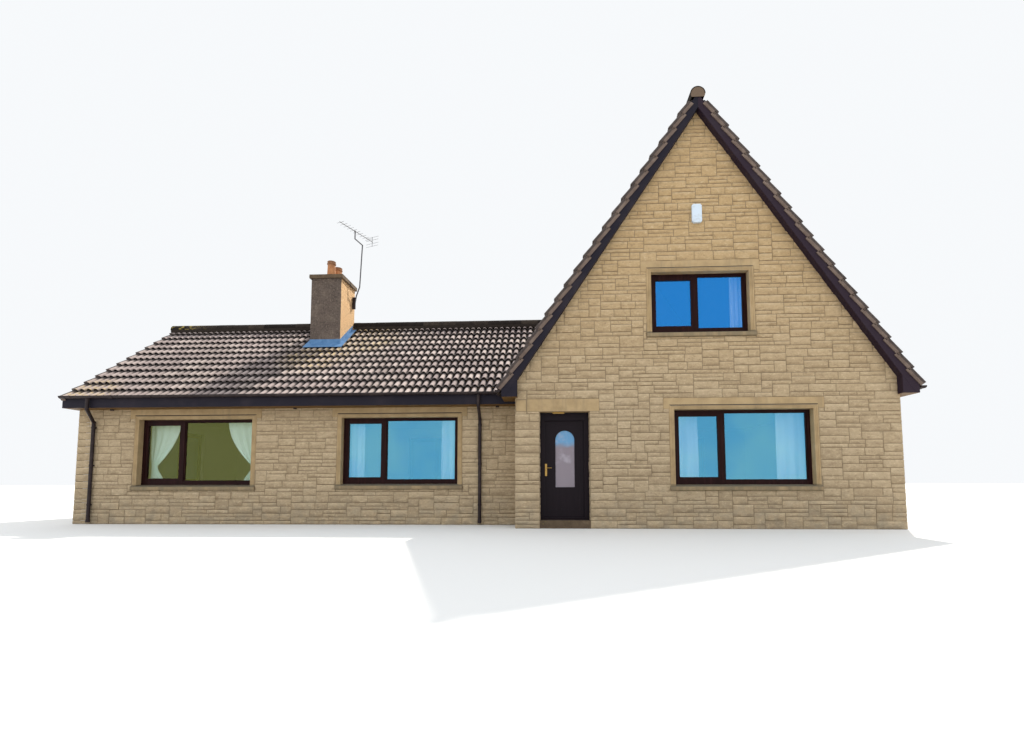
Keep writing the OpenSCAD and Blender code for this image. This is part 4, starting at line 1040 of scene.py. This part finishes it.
def build_verges():
    material = verge_tile()
    gable = (GABLE_RUN, GABLE_RAFTER)
    wing = (WING_RUN, WING_RAFTER)
    for name, node, matrix, at, side, sizes in (
        ("left_verge_front", "gable_roof_tiles", LEFT_SLOPE, VERGE_LEN, -1, gable),
        ("left_verge_rear", "gable_roof_tiles", LEFT_SLOPE, 0.0, 1, gable),
        ("right_verge_front", "gable_roof_tiles", RIGHT_SLOPE, 0.0, 1, gable),
        ("right_verge_rear", "gable_roof_tiles", RIGHT_SLOPE, VERGE_LEN, -1, gable),
        ("wing_verge_front", "wing_roof_tiles", WING_FRONT_SLOPE, 0.0, 1, wing),
        ("wing_verge_rear", "wing_roof_tiles", WING_REAR_SLOPE, WING_LEN, -1, wing),
    ):
        verge_units(name, node, material, matrix, at, side, *sizes)


def ridge_run(name, material, node, start, along, length, bed, seed):
    """Half-round ridge tiles on mortar, from start along a level line."""
    rng = random.Random(seed)
    bm = bmesh.new()
    tone = bm.verts.layers.float.new("tone")
    fill = bm.verts.layers.float.new("fill")
    # the mortar shows at the ends, in the joints and under the tiles' edges
    core = RIDGE_R - 0.006
    turn = UP.rotation_difference(along).to_matrix().to_4x4()
    middle = Matrix.Translation(start + along * length / 2) @ turn
    made = bmesh.ops.create_cone(
        bm, cap_ends=True, segments=40, radius1=core, radius2=core, depth=length - 0.012, matrix=middle
    )
    keep_side(bm, start - UP * bed, -UP)
    for vert in bm.verts:
        vert[fill] = 1.0
    count = round(length / RIDGE_LEN)
    side = UP.cross(along)
    for k in range(count):
        first, last = k * length / count + 0.004, (k + 1) * length / count - 0.004
        outer = RIDGE_R - rng.uniform(0.0, 0.004)
        inner = outer - RIDGE_T
        section = [(inner, first), (outer, first), (outer, last), (inner, last)]
        spin_section(bm, section, start, side, along, math.pi, 16, (tone, rng.random()))
    bmesh.ops.recalc_face_normals(bm, faces=bm.faces)
    piece = add_piece(name, bm, material, "ridge_tile", angle=35)
    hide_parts(node)


def build_ridges():
    material = ridge_tile()
    low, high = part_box("gable_ridge_tiles")
    start = Vector((MID_X, low[1], high[2] - RIDGE_R))
    ridge_run("gable_ridge", material, "gable_ridge_tiles", start, BACK, high[1] - low[1], 0.075, 31)
    low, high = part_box("wing_ridge_tiles")
    start = Vector((low[0], MID_Y, high[2] - RIDGE_R))
    covering = GABLE_APEX + (GABLE_RAFTER + TILE_T) / COS_G
    end = MID_X - (covering - start.z) / math.tan(GABLE_PITCH) + 0.06
    ridge_run("wing_ridge", material, "wing_ridge_tiles", start, RIGHT, end - low[0], 0.090, 32)


# Gutter fittings
def build_gutter_fittings(material):
    """Sleeves where two lengths of gutter meet, and the brackets that carry them."""
    bm = bmesh.new()
    for low, high in solids("gutters"):
        size = high - low
        along = 0 if size.x > size.y else 1
        if size[along] < 2:
            continue
        radius = min(size[1 - along], size.z * 2) / 2
        axis = (RIGHT, BACK)[along]
        centre = (low + high) / 2
        centre.z = high.z
        reach = size[along] - 2 * FITTING_START
        count = max(2, round(reach / FITTING_GAP))
        for k in range(count + 1):
            wide, thick = SLEEVE if k % 3 == 1 else BRACKET
            centre[along] = low[along] + FITTING_START + reach * k / count
            near, far, half = radius + 0.001, radius + thick, wide / 2
            section = [(near, -half), (far, -half), (far, half), (near, half)]
            spin_section(bm, section, centre, UP.cross(axis), axis, -math.pi, 12)
    bmesh.ops.recalc_face_normals(bm, faces=bm.faces)
    add_piece("gutter_fittings", bm, material, "brown_plastic", angle=40)


def build_mast_housing(material):
    """The closed housing on the chimney's side that the mast comes out of."""
    stack_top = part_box("chimney_stack")[1]
    low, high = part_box("aerial_mast")
    half = HOUSING / 2
    middle = Vector((stack_top[0] + half.x, (low[1] + high[1]) / 2, stack_top[2] - HOUSING_DROP))
    add_block("mast_housing", middle - half, middle + half, 0.006, material, "brown_plastic")


# Cloth
def drawn_in(t, level):
    """How far a tied curtain is drawn in at a share of its drop: most at the tie's level."""
    if t < level:
        return (t / level) ** 2
    return 1 - TIE_FLARE * (1 - math.cos((t - level) / (1 - level) * math.pi)) / 2


def curtain(name, material, slot, node, box, folds, tie=None):
    """A gathered curtain: a grid with folds that deepen downwards; tie draws it to one side."""
    low, high = box
    wide, drop = high.x - low.x, high.z - low.z
    bm = bmesh.new()
    middle = Matrix.Translation((low + high) / 2) @ Matrix.Rotation(math.pi / 2, 4, "X")
    size = Matrix.Diagonal((wide, drop, 1, 1))
    bmesh.ops.create_grid(bm, x_segments=folds * 12, y_segments=28, size=0.5, matrix=middle @ size)
    for vert in bm.verts:
        s = (vert.co.x - low.x) / wide
        t = (high.z - vert.co.z) / drop
        drift = 0.5 * math.sin(3 * t + folds) + 0.8 * noise.noise(vert.co * 2)
        wave = math.sin(s * folds * math.tau + drift)
        vert.co.y += FOLD * (0.35 + 0.65 * t) * wave
        vert.co.x += 0.12 * FOLD * math.cos(s * folds * math.tau * 0.5 + 4 * t)
        if tie:
            anchor, level, pull = tie
            vert.co.x += (anchor - vert.co.x) * pull * drawn_in(t, level)
    area = sum(face.calc_area() for face in bm.faces)
    piece = add_piece(name, bm, material, slot, angle=180)
    thick = piece.modifiers.new("cloth thickness", "SOLIDIFY")
    thick.thickness = CLOTH_T
    thick.offset = 0.0
    round(area / drop, 3)
    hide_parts(node)


def build_curtains():
    mint = cloth("mint_cloth", (0.76, 0.97, 0.95), (0.60, 0.86, 0.84))
    blue = cloth("blue_cloth", (0.84, 0.94, 1.00), (0.66, 0.80, 0.92))
    white = cloth("white_cloth", (0.90, 0.95, 1.00), (0.70, 0.78, 0.88))
    for node, material, slot, folds, tied in (
        ("wing_left_curtains", mint, "mint_cloth", 4, True),
        ("wing_right_curtains", blue, "blue_cloth", 3, False),
        ("gable_curtains", white, "white_cloth", 3, False),
    ):
        for number, (low, high) in enumerate(solids(node)):
            high.z -= 0.001
            tie = None
            if tied and number == 0:
                high.x += FULLER[0]
                tie = (low.x + TIE_IN, *TIE)
            elif tied:
                low.x -= FULLER[1]
                tie = (high.x - TIE_IN, *TIE)
            curtain(f"{node[:-1]}_{number}", material, slot, node, (low, high), folds, tie)


# Finishes for the CAD nodes
def paint_walls():
    inner = WALL_T * 0.55
    front, rear = CORNER.y, CORNER.y + GABLE_D
    for name, axis, plane_at, side in (
        *((f"front_wall_{part}", 1, front + inner, 1) for part in ("left", "right", "upper")),
        ("gable_rear_wall", 1, rear - inner, -1),
        ("gable_right_wall", 0, CORNER.x + GABLE_W - inner, -1),
        ("return_walls", 0, CORNER.x + inner, 1),
        ("wing_front_wall", 1, front + SETBACK + inner, 1),
        ("wing_rear_wall", 1, rear - SETBACK - inner, -1),
        ("wing_end_wall", 0, CORNER.x - WING_W + inner, 1),
    ):
        paint(mortar(f"{name}_mortar", axis, plane_at, side), name)


def paint_nodes(dressed, plastic):
    paint_walls()
    paint(dressed, "front_surrounds", "rear_surrounds", "window_lintels", "door_lintel")
    boards = dark_boards()
    paint(boards, "bargeboards", "wing_bargeboard", "gable_eaves_boards", "wing_eaves_boards")
    paint(boards, "verge_soffits", "wing_verge_soffit")
    paint(plastic, "gutters", "downpipes", "soffit_fixtures")
    paint(rosewood_frame(), "front_window_frames", "rear_window_frames")
    paint(front_glazing(), "front_glass")
    paint(rear_glazing(), "rear_glass")
    paint(door_skin(), "door_frame", "door_leaf")
    paint(door_glazing(), "door_glass")
    paint(brass(), "door_plates", "door_lever", "door_light")
    paint(roughcast(), "chimney_stack")
    paint(cast_concrete(), "chimney_cope", "ground_floor")
    paint(terracotta(), "chimney_pots")
    paint(sheet_lead(), "chimney_flashing")
    paint(drawn_aluminium(), "aerial_mast", "aerial")
    paint(white_plastic(), "alarm_box", "curtain_rails")
    paint(sawn_timber(), "gable_roof_deck", "wing_roof_deck", "first_floor")
    paint(plaster(), "wing_ceiling")


# Stage, light and camera
def seen_directly(nodes):
    """1 for what the camera sees, also in a reflection or through glass, and 0 for what only lights."""
    kinds = ("Camera", "Glossy", "Transmission")
    camera, glossy, through = (nodes.add("ShaderNodeLightPath", out=f"Is {kind} Ray") for kind in kinds)
    return camera.most(glossy).most(through)


def build_stage():
    bm = bmesh.new()
    bmesh.ops.create_grid(bm, x_segments=1, y_segments=1, size=120)
    mesh = bpy.data.meshes.new("studio_floor")
    bm.to_mesh(mesh)
    bm.free()
    floor = bpy.data.objects.new("studio_floor", mesh)
    bpy.context.collection.objects.link(floor)
    f = Finish("pale_floor")
    mesh.materials.append(f.finish(f.mix((0.42, 0.41, 0.39), (0.80, 0.80, 0.79), seen_directly(f)), 0.9))


def build_light():
    world = bpy.data.worlds.new("studio")
    bpy.context.scene.world = world
    world.use_nodes = True
    n = Nodes(world.node_tree)
    sky = n.add("ShaderNodeBackground", {}, {0: (0.94, 0.97, 1.0), 1: 1.25})
    backdrop = n.add("ShaderNodeBackground", {}, {0: (0.93, 0.95, 0.97), 1: 1.0})
    shown = n.add("ShaderNodeMixShader", {}, {0: seen_directly(n), 1: sky, 2: backdrop})
    n.feed(n.tree.nodes["World Output"].inputs["Surface"], shown)

    lamp = bpy.data.lights.new("sun", "SUN")
    lamp.energy = 5.0
    lamp.angle = math.radians(1.5)
    lamp.color = (1.0, 0.94, 0.84)
    sun = bpy.data.objects.new("sun", lamp)
    sun.rotation_euler = (math.radians(90 - SUN_HEIGHT), 0.0, math.radians(SUN_TURN))
    bpy.context.collection.objects.link(sun)


def build_camera():
    """The photograph's own view: its width and focal length in pixels, and where its middle lies."""
    width, focal = 1024.0, 513.44
    across, down = 11.78, 76.86
    yaw, pitch, lean = 2.8055, 4.4034, -0.118
    camera = bpy.data.cameras.new("photo_view")
    camera.sensor_width = 36.0
    camera.lens = focal / width * camera.sensor_width
    camera.shift_x = -across / width
    camera.shift_y = down / width
    camera.clip_end = 400.0
    view = bpy.data.objects.new("photo_view", camera)
    turn = Matrix.Rotation(math.radians(yaw), 4, "Z") @ Matrix.Rotation(math.radians(90 + pitch), 4, "X")
    turn = turn @ Matrix.Rotation(math.radians(lean), 4, "Z")
    view.matrix_world = Matrix.Translation(CORNER + Vector((0.649, -9.992, 0.7655))) @ turn
    bpy.context.collection.objects.link(view)
    bpy.context.scene.camera = view


dressed = dressed_stone()
plastic = rainwater_plastic()
paint_nodes(dressed, plastic)
build_stonework()
build_dressed_block(dressed)
build_tiles()
build_verges()
build_ridges()
build_gutter_fittings(plastic)
build_mast_housing(plastic)
build_curtains()
build_stage()
build_light()
build_camera()
bpy.context.scene.view_settings.view_transform = "Standard"
